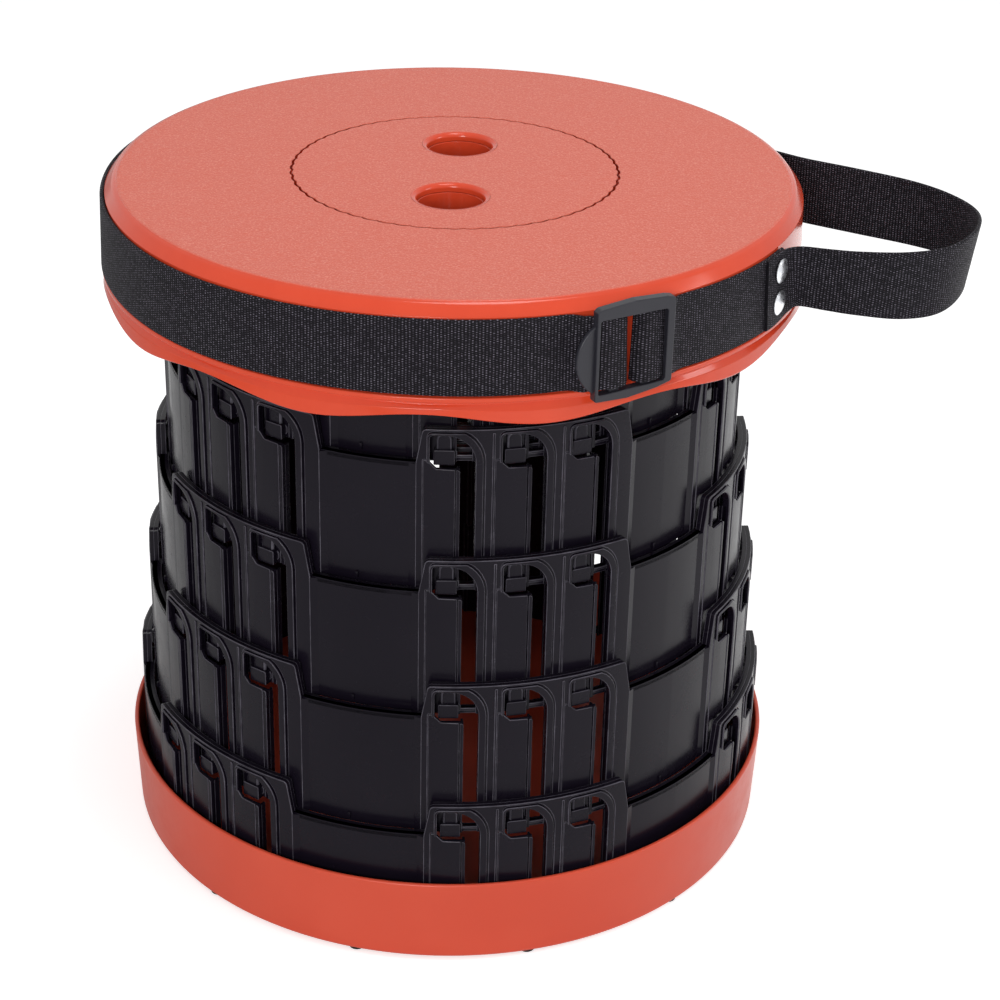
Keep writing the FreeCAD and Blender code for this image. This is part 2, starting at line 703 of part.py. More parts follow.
def build_belt():
    """Build the belt of webbing round the skirt, with its two turns over the buckle's bars."""
    body = new_body("belt_strap", cell("seat_height"), cell("buckle_turn"))
    sketch = new_sketch(body, "belt_profile")
    slope = "(Sizes.channel_bottom_radius - Sizes.channel_top_radius) / (Sizes.channel_bottom - Sizes.channel_top)"
    inner_top = f"(Sizes.channel_top_radius + {slope} * (Sizes.belt_top - Sizes.channel_top))"
    inner_low = f"({inner_top} + {slope} * Sizes.belt_width)"
    low = "-Sizes.belt_top - Sizes.belt_width"
    draw_outline(
        sketch,
        [
            (inner_low, low),
            (f"{inner_low} + Sizes.belt_thick", low),
            (f"{inner_top} + Sizes.belt_thick", "-Sizes.belt_top"),
            (inner_top, "-Sizes.belt_top"),
        ],
    )
    revolve(body, "band", sketch)
    turn_low = f"Sizes.buckle_low + Sizes.buckle_low_bar + 0.3 - Sizes.seat_height"
    turn_high = f"Sizes.buckle_high - Sizes.buckle_top_bar - 0.3 - Sizes.seat_height"
    middle = "(Sizes.buckle_inner + Sizes.buckle_thick / 2)"
    top_sketch = new_sketch(body, "turn_profile", role="XY_Plane", out=turn_low)
    gap_sketch = new_sketch(body, "bar_gap", role="XY_Plane", out=f"{turn_low} - 1")
    for bar, half in ((cell("cross_bar_left"), cell("turn_left_half")), (cell("cross_bar_right"), cell("turn_right_half"))):
        draw_box(top_sketch, f"{bar} - {half}", f"{bar} + {half}", "-Sizes.turn_outer", "-Sizes.channel_bottom_radius - 0.6")
        draw_box(
            gap_sketch, f"{bar} - Sizes.cross_bar_width / 2", f"{bar} + Sizes.cross_bar_width / 2",
            f"-{middle} - Sizes.cross_bar_thick / 2", f"-{middle} + Sizes.cross_bar_thick / 2",
        )
    pad(body, "turns", top_sketch, f"{turn_high} - ({turn_low})")
    pocket(body, "bar_gaps", gap_sketch, f"{turn_high} - ({turn_low}) + 2", reverse=True)
    for name in ("front", "rear"):
        turn = f"Sizes.rivet_turn_{name} - Sizes.buckle_turn"
        hole_sketch = new_sketch(body, f"rivet_holes_{name}", turn=turn)
        draw_circle(hole_sketch, "0", "Sizes.rivet_lower - Sizes.seat_height", cell("rivet_hole_radius"))
        draw_circle(hole_sketch, "0", "Sizes.rivet_lower + Sizes.rivet_spacing - Sizes.seat_height", cell("rivet_hole_radius"))
        pocket(body, f"rivet_bores_{name}", hole_sketch, "Sizes.turn_outer + 5", reverse=True)
    return body


def build_buckle():
    """Build the buckle: frame, thumb tab and the two cross bars that the webbing turns round."""
    body = new_body("belt_buckle", turn=cell("buckle_turn"))
    half = "Sizes.buckle_width / 2"
    corner = cell("buckle_corner")
    low = cell("buckle_low")
    high = cell("buckle_high")
    frame_sketch = new_sketch(body, "frame_profile", out=cell("buckle_inner"))
    draw_outline(
        frame_sketch,
        [
            (f"-{half}", low),
            (f"{half} - {corner}", low, corner),
            (half, f"{low} + {corner}"),
            (half, f"{high} - {corner}", corner),
            (f"{half} - {corner}", high),
            (f"-{half}", high),
        ],
    )
    pad(body, "frame", frame_sketch, cell("buckle_thick"))
    tab_sketch = new_sketch(body, "thumb_profile", out=cell("buckle_inner"))
    reach = f"-{half} - Sizes.buckle_tab_reach"
    middle = "(Sizes.buckle_tab_low + Sizes.buckle_tab_high) / 2"
    span = "(Sizes.buckle_tab_high - Sizes.buckle_tab_low)"
    bend = f"(({span} / 2) ^ 2 + Sizes.buckle_tab_reach ^ 2) / (2 * Sizes.buckle_tab_reach)"
    draw_outline(
        tab_sketch,
        [
            (f"-{half} + 1", cell("buckle_tab_low")),
            (f"-{half} + 1", cell("buckle_tab_high")),
            (f"-{half}", cell("buckle_tab_high"), bend),
            (reach, middle, bend),
            (f"-{half}", cell("buckle_tab_low")),
        ],
    )
    pad(body, "thumb_tab", tab_sketch, cell("buckle_tab_thick"))
    window_sketch = new_sketch(body, "window_profile")
    draw_box(
        window_sketch, f"-{half} + Sizes.buckle_left_bar", f"{half} - Sizes.buckle_right_bar",
        f"{low} + Sizes.buckle_low_bar", f"{high} - Sizes.buckle_top_bar",
    )
    pocket(body, "window", window_sketch, "Sizes.turn_outer + 5", reverse=True)
    bar_sketch = new_sketch(
        body, "bar_profile", out="Sizes.buckle_inner + Sizes.buckle_thick / 2 - Sizes.cross_bar_thick / 2"
    )
    for bar in (cell("cross_bar_left"), cell("cross_bar_right")):
        draw_box(bar_sketch, f"{bar} - Sizes.cross_bar_width / 2", f"{bar} + Sizes.cross_bar_width / 2",
                 f"{low} + 1", f"{high} - 1")
    pad(body, "cross_bars", bar_sketch, cell("cross_bar_thick"))
    return body


def build_rivets(name):
    """Build a pair of domed rivets that hold one end of the carry loop to the belt."""
    body = new_body(f"rivets_{name}", cell("rivet_lower"), cell(f"rivet_turn_{name}"))
    profile = new_sketch(body, "rivet_profile", role="YZ_Plane")
    back = "(Sizes.channel_bottom_radius + 0.1)"
    face = "(Sizes.rivet_head_low + Sizes.rivet_head_thick)"
    draw_outline(
        profile,
        [
            (f"-{face}", "0"),
            (f"-{back}", "0"),
            (f"-{back}", cell("rivet_hole_radius")),
            ("-Sizes.rivet_head_low", cell("rivet_hole_radius")),
            ("-Sizes.rivet_head_low", cell("rivet_radius")),
            ("-Sizes.rivet_head_low - 0.3", cell("rivet_radius")),
            (f"-{face}", "Sizes.rivet_radius / 2"),
        ],
    )
    rivet = body.newObject("PartDesign::Revolution", "rivet")
    rivet.Profile = profile
    rivet.ReferenceAxis = (profile, ["H_Axis"])
    rivet.Angle = 360
    pair = body.newObject("PartDesign::LinearPattern", "pair")
    pair.Originals = [rivet]
    pair.Direction = (profile, ["V_Axis"])
    pair.setExpression("Length", cell("rivet_spacing"))
    pair.Occurrences = 2
    body.Tip = pair
    return body


def on_belt(turn_name):
    """Return the plan point on the belt's outer face at a named angle."""
    angle = math.radians(number(cell(turn_name)))
    radius = number(cell("loop_lie_radius"))
    return FreeCAD.Vector(radius * math.sin(angle), -radius * math.cos(angle), 0)


def rounded_route(points):
    """Join straight runs with arcs as large as the runs allow."""
    edges = []
    last = points[0]
    for before, corner, after in zip(points, points[1:], points[2:]):
        inward = (corner - before).normalize()
        onward = (after - corner).normalize()
        turn = inward.getAngle(onward)
        cut = 0.45 * min((corner - before).Length, (after - corner).Length)
        start = corner - inward * cut
        stop = corner + onward * cut
        bisector = (onward - inward).normalize()
        bend = cut / math.tan(turn / 2)
        middle = corner + bisector * (bend / math.cos(turn / 2) - bend)
        edges.append(Part.LineSegment(last, start).toShape())
        edges.append(Part.Arc(start, middle, stop).toShape())
        last = stop
    edges.append(Part.LineSegment(last, points[-1]).toShape())
    return Part.Wire(edges)


def build_carry_loop():
    """Build the carry loop: webbing on edge along a plan route, from the front to the rear rivets."""
    route = [
        on_belt("loop_start_turn"),
        on_belt("rivet_turn_front"),
        on_belt("loop_leave_turn"),
        FreeCAD.Vector(121.5, -58.6, 0),
        FreeCAD.Vector(138.0, -62.8, 0),
        FreeCAD.Vector(156.0, -63.5, 0),
        FreeCAD.Vector(171.5, -57.5, 0),
        FreeCAD.Vector(183.5, -43.0, 0),
        FreeCAD.Vector(189.5, -22.0, 0),
        FreeCAD.Vector(185.5, -3.0, 0),
        FreeCAD.Vector(172.0, 10.5, 0),
        FreeCAD.Vector(150.0, 22.5, 0),
        FreeCAD.Vector(130.5, 34.5, 0),
        on_belt("loop_return_turn"),
        on_belt("rivet_turn_rear"),
        on_belt("loop_end_turn"),
    ]
    wire = rounded_route(route)
    print("carry loop length", round(wire.Length, 1))
    half = number(cell("loop_thick")) / 2
    outer = wire.makeOffset2D(half, 0, False, True)
    inner = wire.makeOffset2D(-half, 0, False, True)
    ends = [
        Part.makeLine(outer.OrderedVertexes[index].Point, inner.OrderedVertexes[index].Point) for index in (0, -1)
    ]
    outline = Part.Wire(Part.__sortEdges__(outer.Edges + inner.Edges + ends))
    low = number(cell("loop_low"))
    height = number(cell("loop_high")) - low
    solid = Part.Face(outline).extrude(FreeCAD.Vector(0, 0, height))
    for name in ("front", "rear"):
        angle = math.radians(number(cell(f"rivet_turn_{name}")))
        outward = FreeCAD.Vector(math.sin(angle), -math.cos(angle), 0)
        for step in (0, 1):
            height = number(f"Sizes.rivet_lower + {step} * Sizes.rivet_spacing") - low
            start = outward * number(cell("channel_top_radius")) + FreeCAD.Vector(0, 0, height)
            solid = solid.cut(Part.makeCylinder(number(cell("rivet_hole_radius")), 10, start, outward))
            head = outward * number(cell("rivet_head_low")) + FreeCAD.Vector(0, 0, height)
            solid = solid.cut(Part.makeCylinder(number(cell("rivet_radius")) + 0.1, 10, head, outward))
    feature = doc.addObject("Part::Feature", "carry_loop")
    feature.Label = "carry_loop"
    feature.Shape = solid
    feature.Placement = FreeCAD.Placement(FreeCAD.Vector(0, 0, low), FreeCAD.Rotation())
    feature.setExpression("Placement.Base.z", cell("loop_low"))
    return feature


def build_all():
    """Build every sub-part in the order in which the stool goes together."""
    parts = [build_tray()]
    parts += [build_rubber_foot(index) for index in range(int(number(cell("rubber_count"))))]
    parts += [build_ring(ring) for ring in range(1, RING_COUNT + 1)]
    parts += [build_seat(), build_centre_cap(), build_seat_screws()]
    parts += [build_belt(), build_buckle(), build_rivets("front"), build_rivets("rear"), build_carry_loop()]
    return parts


def check_and_export(parts):
    """Stop at any failed object or unsound shape, then write each sub-part to its own file."""
    for item in doc.Objects:
        if "Invalid" in item.State or "Error" in item.State:
            raise RuntimeError(f"{item.Label}: {item.getStatusString()}")
    os.makedirs("parts", exist_ok=True)
    for part in parts:
        shape = part.Shape
        if shape.isNull() or not shape.isValid():
            raise RuntimeError(f"{part.Label}: unsound shape")
        shape.exportStep(f"parts/{part.Label}.step")
        box = shape.BoundBox
        spans = [round(value, 1) for value in (box.XMin, box.YMin, box.ZMin, box.XMax, box.YMax, box.ZMax)]
        print(part.Label, len(shape.Solids), "solids", len(shape.Faces), "faces", round(shape.Volume), "mm3", spans)


all_parts = build_all()
doc.recompute()
check_and_export(all_parts)
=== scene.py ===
"""Collapsible telescopic stool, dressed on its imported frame.

Everything is in metres in the row's frame: the floor is z = 0 and the stool's axis is the z axis. Sizes in
the classes are millimetres, as on a drawing, and angles are measured about the axis from the front (-Y),
growing towards the right (+X).
"""
import logging
import math
from dataclasses import dataclass
from enum import Enum
from typing import Callable, Iterable, Optional, Sequence, Union

import bpy
import numpy as np
from mathutils import Matrix, Vector


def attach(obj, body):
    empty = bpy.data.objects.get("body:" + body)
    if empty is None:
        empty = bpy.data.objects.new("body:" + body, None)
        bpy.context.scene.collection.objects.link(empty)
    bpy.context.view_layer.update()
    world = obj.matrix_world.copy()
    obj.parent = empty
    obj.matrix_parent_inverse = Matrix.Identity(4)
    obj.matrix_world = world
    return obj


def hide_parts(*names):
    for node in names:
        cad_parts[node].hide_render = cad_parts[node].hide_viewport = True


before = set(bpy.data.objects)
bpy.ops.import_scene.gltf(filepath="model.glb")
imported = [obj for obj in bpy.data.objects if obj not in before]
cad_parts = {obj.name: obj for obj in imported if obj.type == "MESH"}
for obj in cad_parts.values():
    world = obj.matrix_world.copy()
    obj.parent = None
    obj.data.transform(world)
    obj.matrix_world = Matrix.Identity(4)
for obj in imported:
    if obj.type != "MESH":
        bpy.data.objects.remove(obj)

MM = 0.001
FULL_TURN = 2 * math.pi
log = logging.getLogger("stool")

CELLS = (-1, 0, 1)
SIDES = (1, -1)

Point = tuple[float, float]
Triple = tuple[float, float, float]
Item = bpy.types.Object
Socket = bpy.types.NodeSocket


class Body(Enum):
    """The frame's bodies that pieces ride on by a fixed name."""

    BASE = "base"
    SEAT = "seat"


# Modelling helpers


def select_only(*objects: Item) -> None:
    """Select these objects alone, with the last one active.

    Args:
        *objects: The objects to select; none leaves nothing selected.
    """
    if bpy.context.object and bpy.context.object.mode != "OBJECT":
        bpy.ops.object.mode_set(mode="OBJECT")
    bpy.ops.object.select_all(action="DESELECT")
    for item in objects:
        item.select_set(True)
        bpy.context.view_layer.objects.active = item


def in_edit_mode(item: Item, *steps: Callable[[], object]) -> None:
    """Run steps in edit mode with everything selected before each.

    Args:
        item: The mesh object to edit.
        *steps: The operators to run, in order.
    """
    select_only(item)
    bpy.ops.object.mode_set(mode="EDIT")
    for step in steps:
        bpy.ops.mesh.select_all(action="SELECT")
        step()
    bpy.ops.object.mode_set(mode="OBJECT")


def apply_modifier(item: Item, kind: str, **settings: object) -> None:
    """Add a modifier with these settings and apply it.

    Args:
        item: The object that takes the modifier.
        kind: The modifier's type, such as BEVEL.
        **settings: The modifier's properties.
    """
    select_only(item)
    modifier = item.modifiers.new(kind.lower(), kind)
    for key, value in settings.items():
        setattr(modifier, key, value)
    bpy.ops.object.modifier_apply(modifier=modifier.name)


def bevel_edges(item: Item, width: float, segments: int = 2, angle: float = 40) -> None:
    """Round the edges sharper than an angle.

    Args:
        item: The object to round.
        width: The rounding's width; 0 leaves the edges sharp.
        segments: Faces in each rounded edge.
        angle: The least angle that is rounded, in degrees.
    """
    if width > 0:
        apply_modifier(
            item, "BEVEL", width=width, segments=segments, limit_method="ANGLE",
            angle_limit=math.radians(angle), use_clamp_overlap=True, miter_outer="MITER_ARC",
        )


def merge(name: str, parts: Sequence[Item]) -> Item:
    """Join parts into one object.

    Args:
        name: The joined object's name.
        parts: The objects to join; the first keeps its place.

    Returns:
        The joined object.
    """
    select_only(*reversed(list(parts)))
    if len(parts) > 1:
        bpy.ops.object.join()
    joined = bpy.context.view_layer.objects.active
    joined.name = name
    joined.data.name = name
    return joined


def twin(item: Item, matrix: Matrix) -> Item:
    """Copy an object with its own mesh, moved by a matrix.

    Args:
        item: The object to copy.
        matrix: The move.

    Returns:
        The copy.
    """
    copy = item.copy()
    copy.data = item.data.copy()
    copy.data.transform(matrix)
    bpy.context.collection.objects.link(copy)
    return copy


def place(item: Item, matrix: Matrix) -> Item:
    """Move a mesh by a matrix, leaving its object at the origin."""
    item.data.transform(matrix)
    item.data.update()
    return item


def coordinates(item: Item) -> np.ndarray:
    """Return the mesh's vertices as an array of rows."""
    flat = np.empty(len(item.data.vertices) * 3)
    item.data.vertices.foreach_get("co", flat)
    return flat.reshape(-1, 3)


def set_coordinates(item: Item, rows: np.ndarray) -> None:
    """Write the mesh's vertices back."""
    item.data.vertices.foreach_set("co", rows.reshape(-1))
    item.data.update()


def finish_mesh(item: Item, angle: float = 32) -> None:
    """Smooth the shading up to an angle, with flat faces kept flat.

    Args:
        item: The object to shade.
        angle: The greatest angle that is smoothed, in degrees.
    """
    select_only(item)
    bpy.ops.object.shade_smooth_by_angle(angle=math.radians(angle))
    apply_modifier(item, "WEIGHTED_NORMAL", keep_sharp=True, weight=80)


def rounded(corners: Sequence[tuple[float, ...]], steps: int = 5, closed: bool = True) -> list[Point]:
    """Round an outline's corners.

    Args:
        corners: Each corner as (across, up) or (across, up, radius).
        steps: Edges in each rounded corner.
        closed: Whether the last corner joins the first.

    Returns:
        The outline's points.
    """
    points: list[Point] = []
    count = len(corners)
    for index, corner in enumerate(corners):
        here = Vector(corner[:2])
        is_end = not closed and index in (0, count - 1)
        if len(corner) < 3 or corner[2] <= 0 or is_end:
            points.append((here.x, here.y))
            continue
        to_last = (Vector(corners[index - 1][:2]) - here).normalized()
        to_next = (Vector(corners[(index + 1) % count][:2]) - here).normalized()
        half = to_last.angle(to_next) / 2
        cut = corner[2] / math.tan(half)
        centre = here + (to_last + to_next).normalized() * (corner[2] / math.sin(half))
        start = here + to_last * cut - centre
        stop = here + to_next * cut - centre
        sweep = start.angle_signed(stop)
        for step in range(steps + 1):
            turn = -sweep * step / steps
            bent = Matrix.Rotation(turn, 2) @ start
            points.append((centre.x + bent.x, centre.y + bent.y))
    return points


def plate(outline: Sequence[Point], low: float, high: float, edge: float = 0.3, segments: int = 2) -> Item:
    """Make a flat plate from an outline, with its edges rounded.

    Args:
        outline: The outline's points, anticlockwise, across and up.
        low: The plate's back, along z.
        high: The plate's front, along z.
        edge: The edges' rounding.
        segments: Faces in each rounded edge.

    Returns:
        The plate, in the outline's own units.
    """
    select_only()
    bpy.ops.mesh.primitive_circle_add(vertices=len(outline), fill_type="NGON", location=(0, 0, 0))
    item = bpy.context.object
    set_coordinates(item, np.array([(x, y, low) for x, y in outline], dtype=float))
    in_edit_mode(
        item,
        lambda: bpy.ops.mesh.extrude_region_move(TRANSFORM_OT_translate={"value": (0, 0, high - low)}),
        lambda: bpy.ops.mesh.normals_make_consistent(inside=False),
    )
    bevel_edges(item, edge, segments)
    return item


def box(left: float, right: float, low: float, high: float, back: float, front: float, edge: float = 0.3) -> Item:
    """Make a rounded block from its six sides, as a plate."""
    return plate([(left, low), (right, low), (right, high), (left, high)], back, front, edge)


def cut_with(item: Item, tools: Iterable[Item]) -> None:
    """Cut tools out of an object and delete them."""
    for tool in tools:
        apply_modifier(item, "BOOLEAN", operation="DIFFERENCE", object=tool, solver="EXACT")
        discard(tool)


def circle(radius: float, sides: int, across: float = 0.0, up: float = 0.0) -> list[Point]:
    """Draw a circle.

    Args:
        radius: Its radius.
        sides: The number of points.
        across: Its middle's place across.
        up: Its middle's place up.

    Returns:
        The points, anticlockwise from the right.
    """
    turns = [FULL_TURN * step / sides for step in range(sides)]
    return [(across + radius * math.cos(turn), up + radius * math.sin(turn)) for turn in turns]


def round_bar(across: float, up: float, radius: float, low: float, high: float, sides: int = 48) -> Item:
    """Return an upright cylinder about a place, between two heights."""
    return plate(circle(radius, sides, across, up), low, high, 0)


def discard(*items: Item) -> None:
    """Delete objects."""
    for item in items:
        bpy.data.objects.remove(item, do_unlink=True)


def turned(profile: Sequence[Point], steps: int, closed: bool = True) -> Item:
    """Turn a profile of (radius, height) about the z axis.

    Args:
        profile: The profile's points, anticlockwise for a closed one.
        steps: Faces round the axis.
        closed: Whether the profile's last point joins its first.

    Returns:
        The turned shell, with poles closed and faces outwards.
    """
    select_only()
    bpy.ops.mesh.primitive_circle_add(vertices=len(profile), fill_type="NOTHING", location=(0, 0, 0))
    item = bpy.context.object
    set_coordinates(item, np.array([(radius, 0.0, height) for radius, height in profile], dtype=float))
    if not closed:
        last = len(profile) - 1
        for edge in item.data.edges:
            edge.select = set(edge.vertices) == {0, last}
        for vertex in item.data.vertices:
            vertex.select = False
        select_only(item)
        bpy.ops.object.mode_set(mode="EDIT")
        bpy.ops.mesh.select_mode(type="EDGE")
        bpy.ops.mesh.delete(type="EDGE")
        bpy.ops.mesh.select_mode(type="VERT")
        bpy.ops.object.mode_set(mode="OBJECT")
    apply_modifier(
        item, "SCREW", axis="Z", angle=FULL_TURN, steps=steps, render_steps=steps,
        use_merge_vertices=True, merge_threshold=1e-4,
    )
    in_edit_mode(
        item,
        lambda: bpy.ops.mesh.remove_doubles(threshold=1e-3),
        lambda: bpy.ops.mesh.normals_make_consistent(inside=False),
    )
    return item


def turn_z(degrees: float) -> Matrix:
    """Return a turn about the stool's axis."""
    return Matrix.Rotation(math.radians(degrees), 4, "Z")


def outward(degrees: float, radius: float, height: float) -> Matrix:
    """Return the matrix that stands a flat plate at an angle round the stool.

    Args:
        degrees: Angle from the front.
        radius: Distance from the axis that the plate's own z = 0 comes to.
        height: Height that the plate's own y = 0 comes to.

    Returns:
        The matrix: x runs round to the right, y runs up and z points outwards.
    """
    lay = Matrix(((1, 0, 0, 0), (0, 0, -1, -radius), (0, 1, 0, height), (0, 0, 0, 1)))
    return turn_z(degrees) @ lay


def ride(item: Item, body: str, nodes: Sequence[str], finish: "Finish") -> None:
    """Dress a piece, let it ride on its body and stand for its nodes.

    Args:
        item: The finished piece, in metres.
        body: The body's name.
        nodes: The nodes that the piece stands for.
        finish: The finish that it wears.
    """
    item.data.materials.clear()
    item.data.materials.append(finish.material())
    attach(item, body)
    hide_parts(*nodes)
    log.info("%s: %d faces on %s", item.name, len(item.data.polygons), body)


# Finishes


Source = Union[Socket, float, tuple[float, ...]]


def wire(tree: bpy.types.NodeTree, source: Source, target: Socket) -> None:
    """Link a socket to a target, or set the target's own value.

    Args:
        tree: The node tree that holds the target.
        source: The socket to link, or the value.
        target: The input socket.
    """
    if isinstance(source, Socket):
        tree.links.new(source, target)
    else:
        target.default_value = source


class Shader:
    """A material's nodes, wired by short calls."""

    def __init__(self, name: str) -> None:
        """Start a material with a Principled BSDF.

        Args:
            name: The material's name.
        """
        self.material = bpy.data.materials.new(name)
        self.material.use_nodes = True
        self.tree = self.material.node_tree
        self.surface = self.tree.nodes["Principled BSDF"]

    def node(self, kind: str, **settings: object) -> bpy.types.Node:
        """Add a node.

        Args:
            kind: The node's type.
            **settings: Its properties.

        Returns:
            The node.
        """
        made = self.tree.nodes.new(kind)
        for key, value in settings.items():
            setattr(made, key, value)
        return made

    def wire(self, source: Source, target: Socket) -> None:
        """Link a socket to a target, or set the target's own value."""
        wire(self.tree, source, target)

    def wear(self, name: str, source: Source) -> None:
        """Set one of the surface's inputs."""
        self.wire(source, self.surface.inputs[name])

    def math(self, operation: str, *sources: Source) -> Socket:
        """Add a math node.

        Args:
            operation: What it does.
            *sources: Its inputs, in order.

        Returns:
            Its output.
        """
        made = self.node("ShaderNodeMath", operation=operation)
        for index, source in enumerate(sources):
            self.wire(source, made.inputs[index])
        return made.outputs[0]

    def times(self, first: Source, second: Source) -> Socket:
        """Return a product."""
        return self.math("MULTIPLY", first, second)

    def plus(self, first: Source, second: Source) -> Socket:
        """Return a sum."""
        return self.math("ADD", first, second)

    def reach(self, first: Source, second: Source) -> Socket:
        """Return the length of the long side over two short sides."""
        return self.math("SQRT", self.plus(self.math("POWER", first, 2.0), self.math("POWER", second, 2.0)))

    def hump(self, value: Source) -> Socket:
        """Return half a sine wave over each whole step of a value."""
        return self.math("SINE", self.times(self.math("FRACT", value), math.pi))

    def place(self) -> Socket:
        """Return the piece's own coordinates, in metres."""
        return self.node("ShaderNodeTexCoord").outputs["Object"]

    def axes(self, vector: Socket) -> tuple[Socket, ...]:
        """Split a vector into its three parts."""
        made = self.node("ShaderNodeSeparateXYZ")
        self.wire(vector, made.inputs[0])
        return tuple(made.outputs)

    def noise(self, vector: Socket, size: float, detail: float = 2.0, rough: float = 0.5) -> Socket:
        """Add noise.

        Args:
            vector: The coordinates.
            size: About how far its features are apart.
            detail: How many finer layers it has.
            rough: How strong these are.

        Returns:
            The noise, about 0.5.
        """
        made = self.node("ShaderNodeTexNoise")
        self.wire(vector, made.inputs["Vector"])
        self.wire(1 / size, made.inputs["Scale"])
        self.wire(detail, made.inputs["Detail"])
        self.wire(rough, made.inputs["Roughness"])
        return made.outputs["Fac"]

    def cells(self, vector: Socket, size: float) -> Socket:
        """Add scattered points.

        Args:
            vector: The coordinates.
            size: About how far the points are apart.

        Returns:
            The distance to the nearest point.
        """
        made = self.node("ShaderNodeTexVoronoi", feature="F1")
        self.wire(vector, made.inputs["Vector"])
        self.wire(1 / size, made.inputs["Scale"])
        return made.outputs["Distance"]

    def spread(self, value: Socket, low: float, high: float, out_low: float, out_high: float) -> Socket:
        """Map one range to another, clamped.

        Args:
            value: What is mapped.
            low: Where its range starts.
            high: Where it ends.
            out_low: What the start becomes.
            out_high: What the end becomes.

        Returns:
            The mapped value.
        """
        made = self.node("ShaderNodeMapRange")
        for index, source in enumerate((value, low, high, out_low, out_high)):
            self.wire(source, made.inputs[index])
        return made.outputs[0]

    def blend(self, share: Source, first: Source, second: Source) -> Socket:
        """Mix two colours.

        Args:
            share: The second colour's share.
            first: The first colour, or its socket.
            second: The second colour, or its socket.

        Returns:
            The mixed colour.
        """
        made = self.node("ShaderNodeMix", data_type="RGBA")
        self.wire(share, made.inputs[0])
        for index, colour in ((6, first), (7, second)):
            self.wire((*colour, 1.0) if isinstance(colour, tuple) else colour, made.inputs[index])
        return made.outputs[2]

    def bump(self, height: Socket, depth: float) -> None:
        """Raise the surface by a height map; a second call adds to the first.

        Args:
            height: The height map, from 0 to 1.
            depth: The height at 1, in metres.
        """
        made = self.node("ShaderNodeBump")
        made.inputs["Strength"].default_value = 1.0
        made.inputs["Distance"].default_value = depth
        self.wire(height, made.inputs["Height"])
        normal = self.surface.inputs["Normal"]
        if normal.is_linked:
            self.wire(normal.links[0].from_socket, made.inputs["Normal"])
        self.wire(made.outputs[0], normal)


@dataclass(frozen=True)
class Finish:
    """What every finish has: a name, and a material made once."""

    name: str

    def material(self) -> bpy.types.Material:
        """Return the finish's material, made the first time."""
        return bpy.data.materials.get(self.name) or self.build()

    def build(self) -> bpy.types.Material:
        """Make the material."""
        raise NotImplementedError


@dataclass(frozen=True)
class MouldedPlastic(Finish):
    """Moulded plastic with a faint flow mottle and a fine surface."""

    colour: Triple = (0.62, 0.062, 0.024)
    shade: Triple = (0.58, 0.052, 0.018)
    roughness: float = 0.3
    specular: float = 0.3
    texture_size: float = 0.0009
    texture_depth: float = 0.00001
    # Lighter colour on the marked rounded edges: painted highlight, with some edge wear.
    edge_highlight_and_wear: Optional[Triple] = None
    flow_size: float = 0.045
    scuff_size: float = 0.012
    patch_size: float = 0.006

    def build(self) -> bpy.types.Material:
        """Make the material.

        Returns:
            The material.
        """
        shader = Shader(self.name)
        place_at = shader.place()
        flow = shader.spread(shader.noise(place_at, self.flow_size, 3.0), 0.35, 0.65, 0.0, 1.0)
        colour = shader.blend(flow, self.colour, self.shade)
        # Patchy lighter colour on the rounded edges: painted highlight with some edge wear.
        if self.edge_highlight_and_wear:
            mark = shader.node("ShaderNodeAttribute", attribute_name="edge_highlight_and_wear").outputs["Fac"]
            patchy = shader.spread(shader.noise(place_at, self.patch_size, 3.0), 0.3, 0.7, 0.35, 1.0)
            colour = shader.blend(shader.times(mark, patchy), colour, self.edge_highlight_and_wear)
        shader.wear("Base Color", colour)
        fine = shader.noise(place_at, self.texture_size, 3.0, 0.6)
        scuff = shader.spread(shader.noise(place_at, self.scuff_size, 4.0, 0.7), 0.4, 0.75, 0.0, 0.10)
        shader.wear("Roughness", shader.plus(scuff, self.roughness))
        shader.wear("Specular IOR Level", self.specular)
        shader.bump(fine, self.texture_depth)
        return shader.material


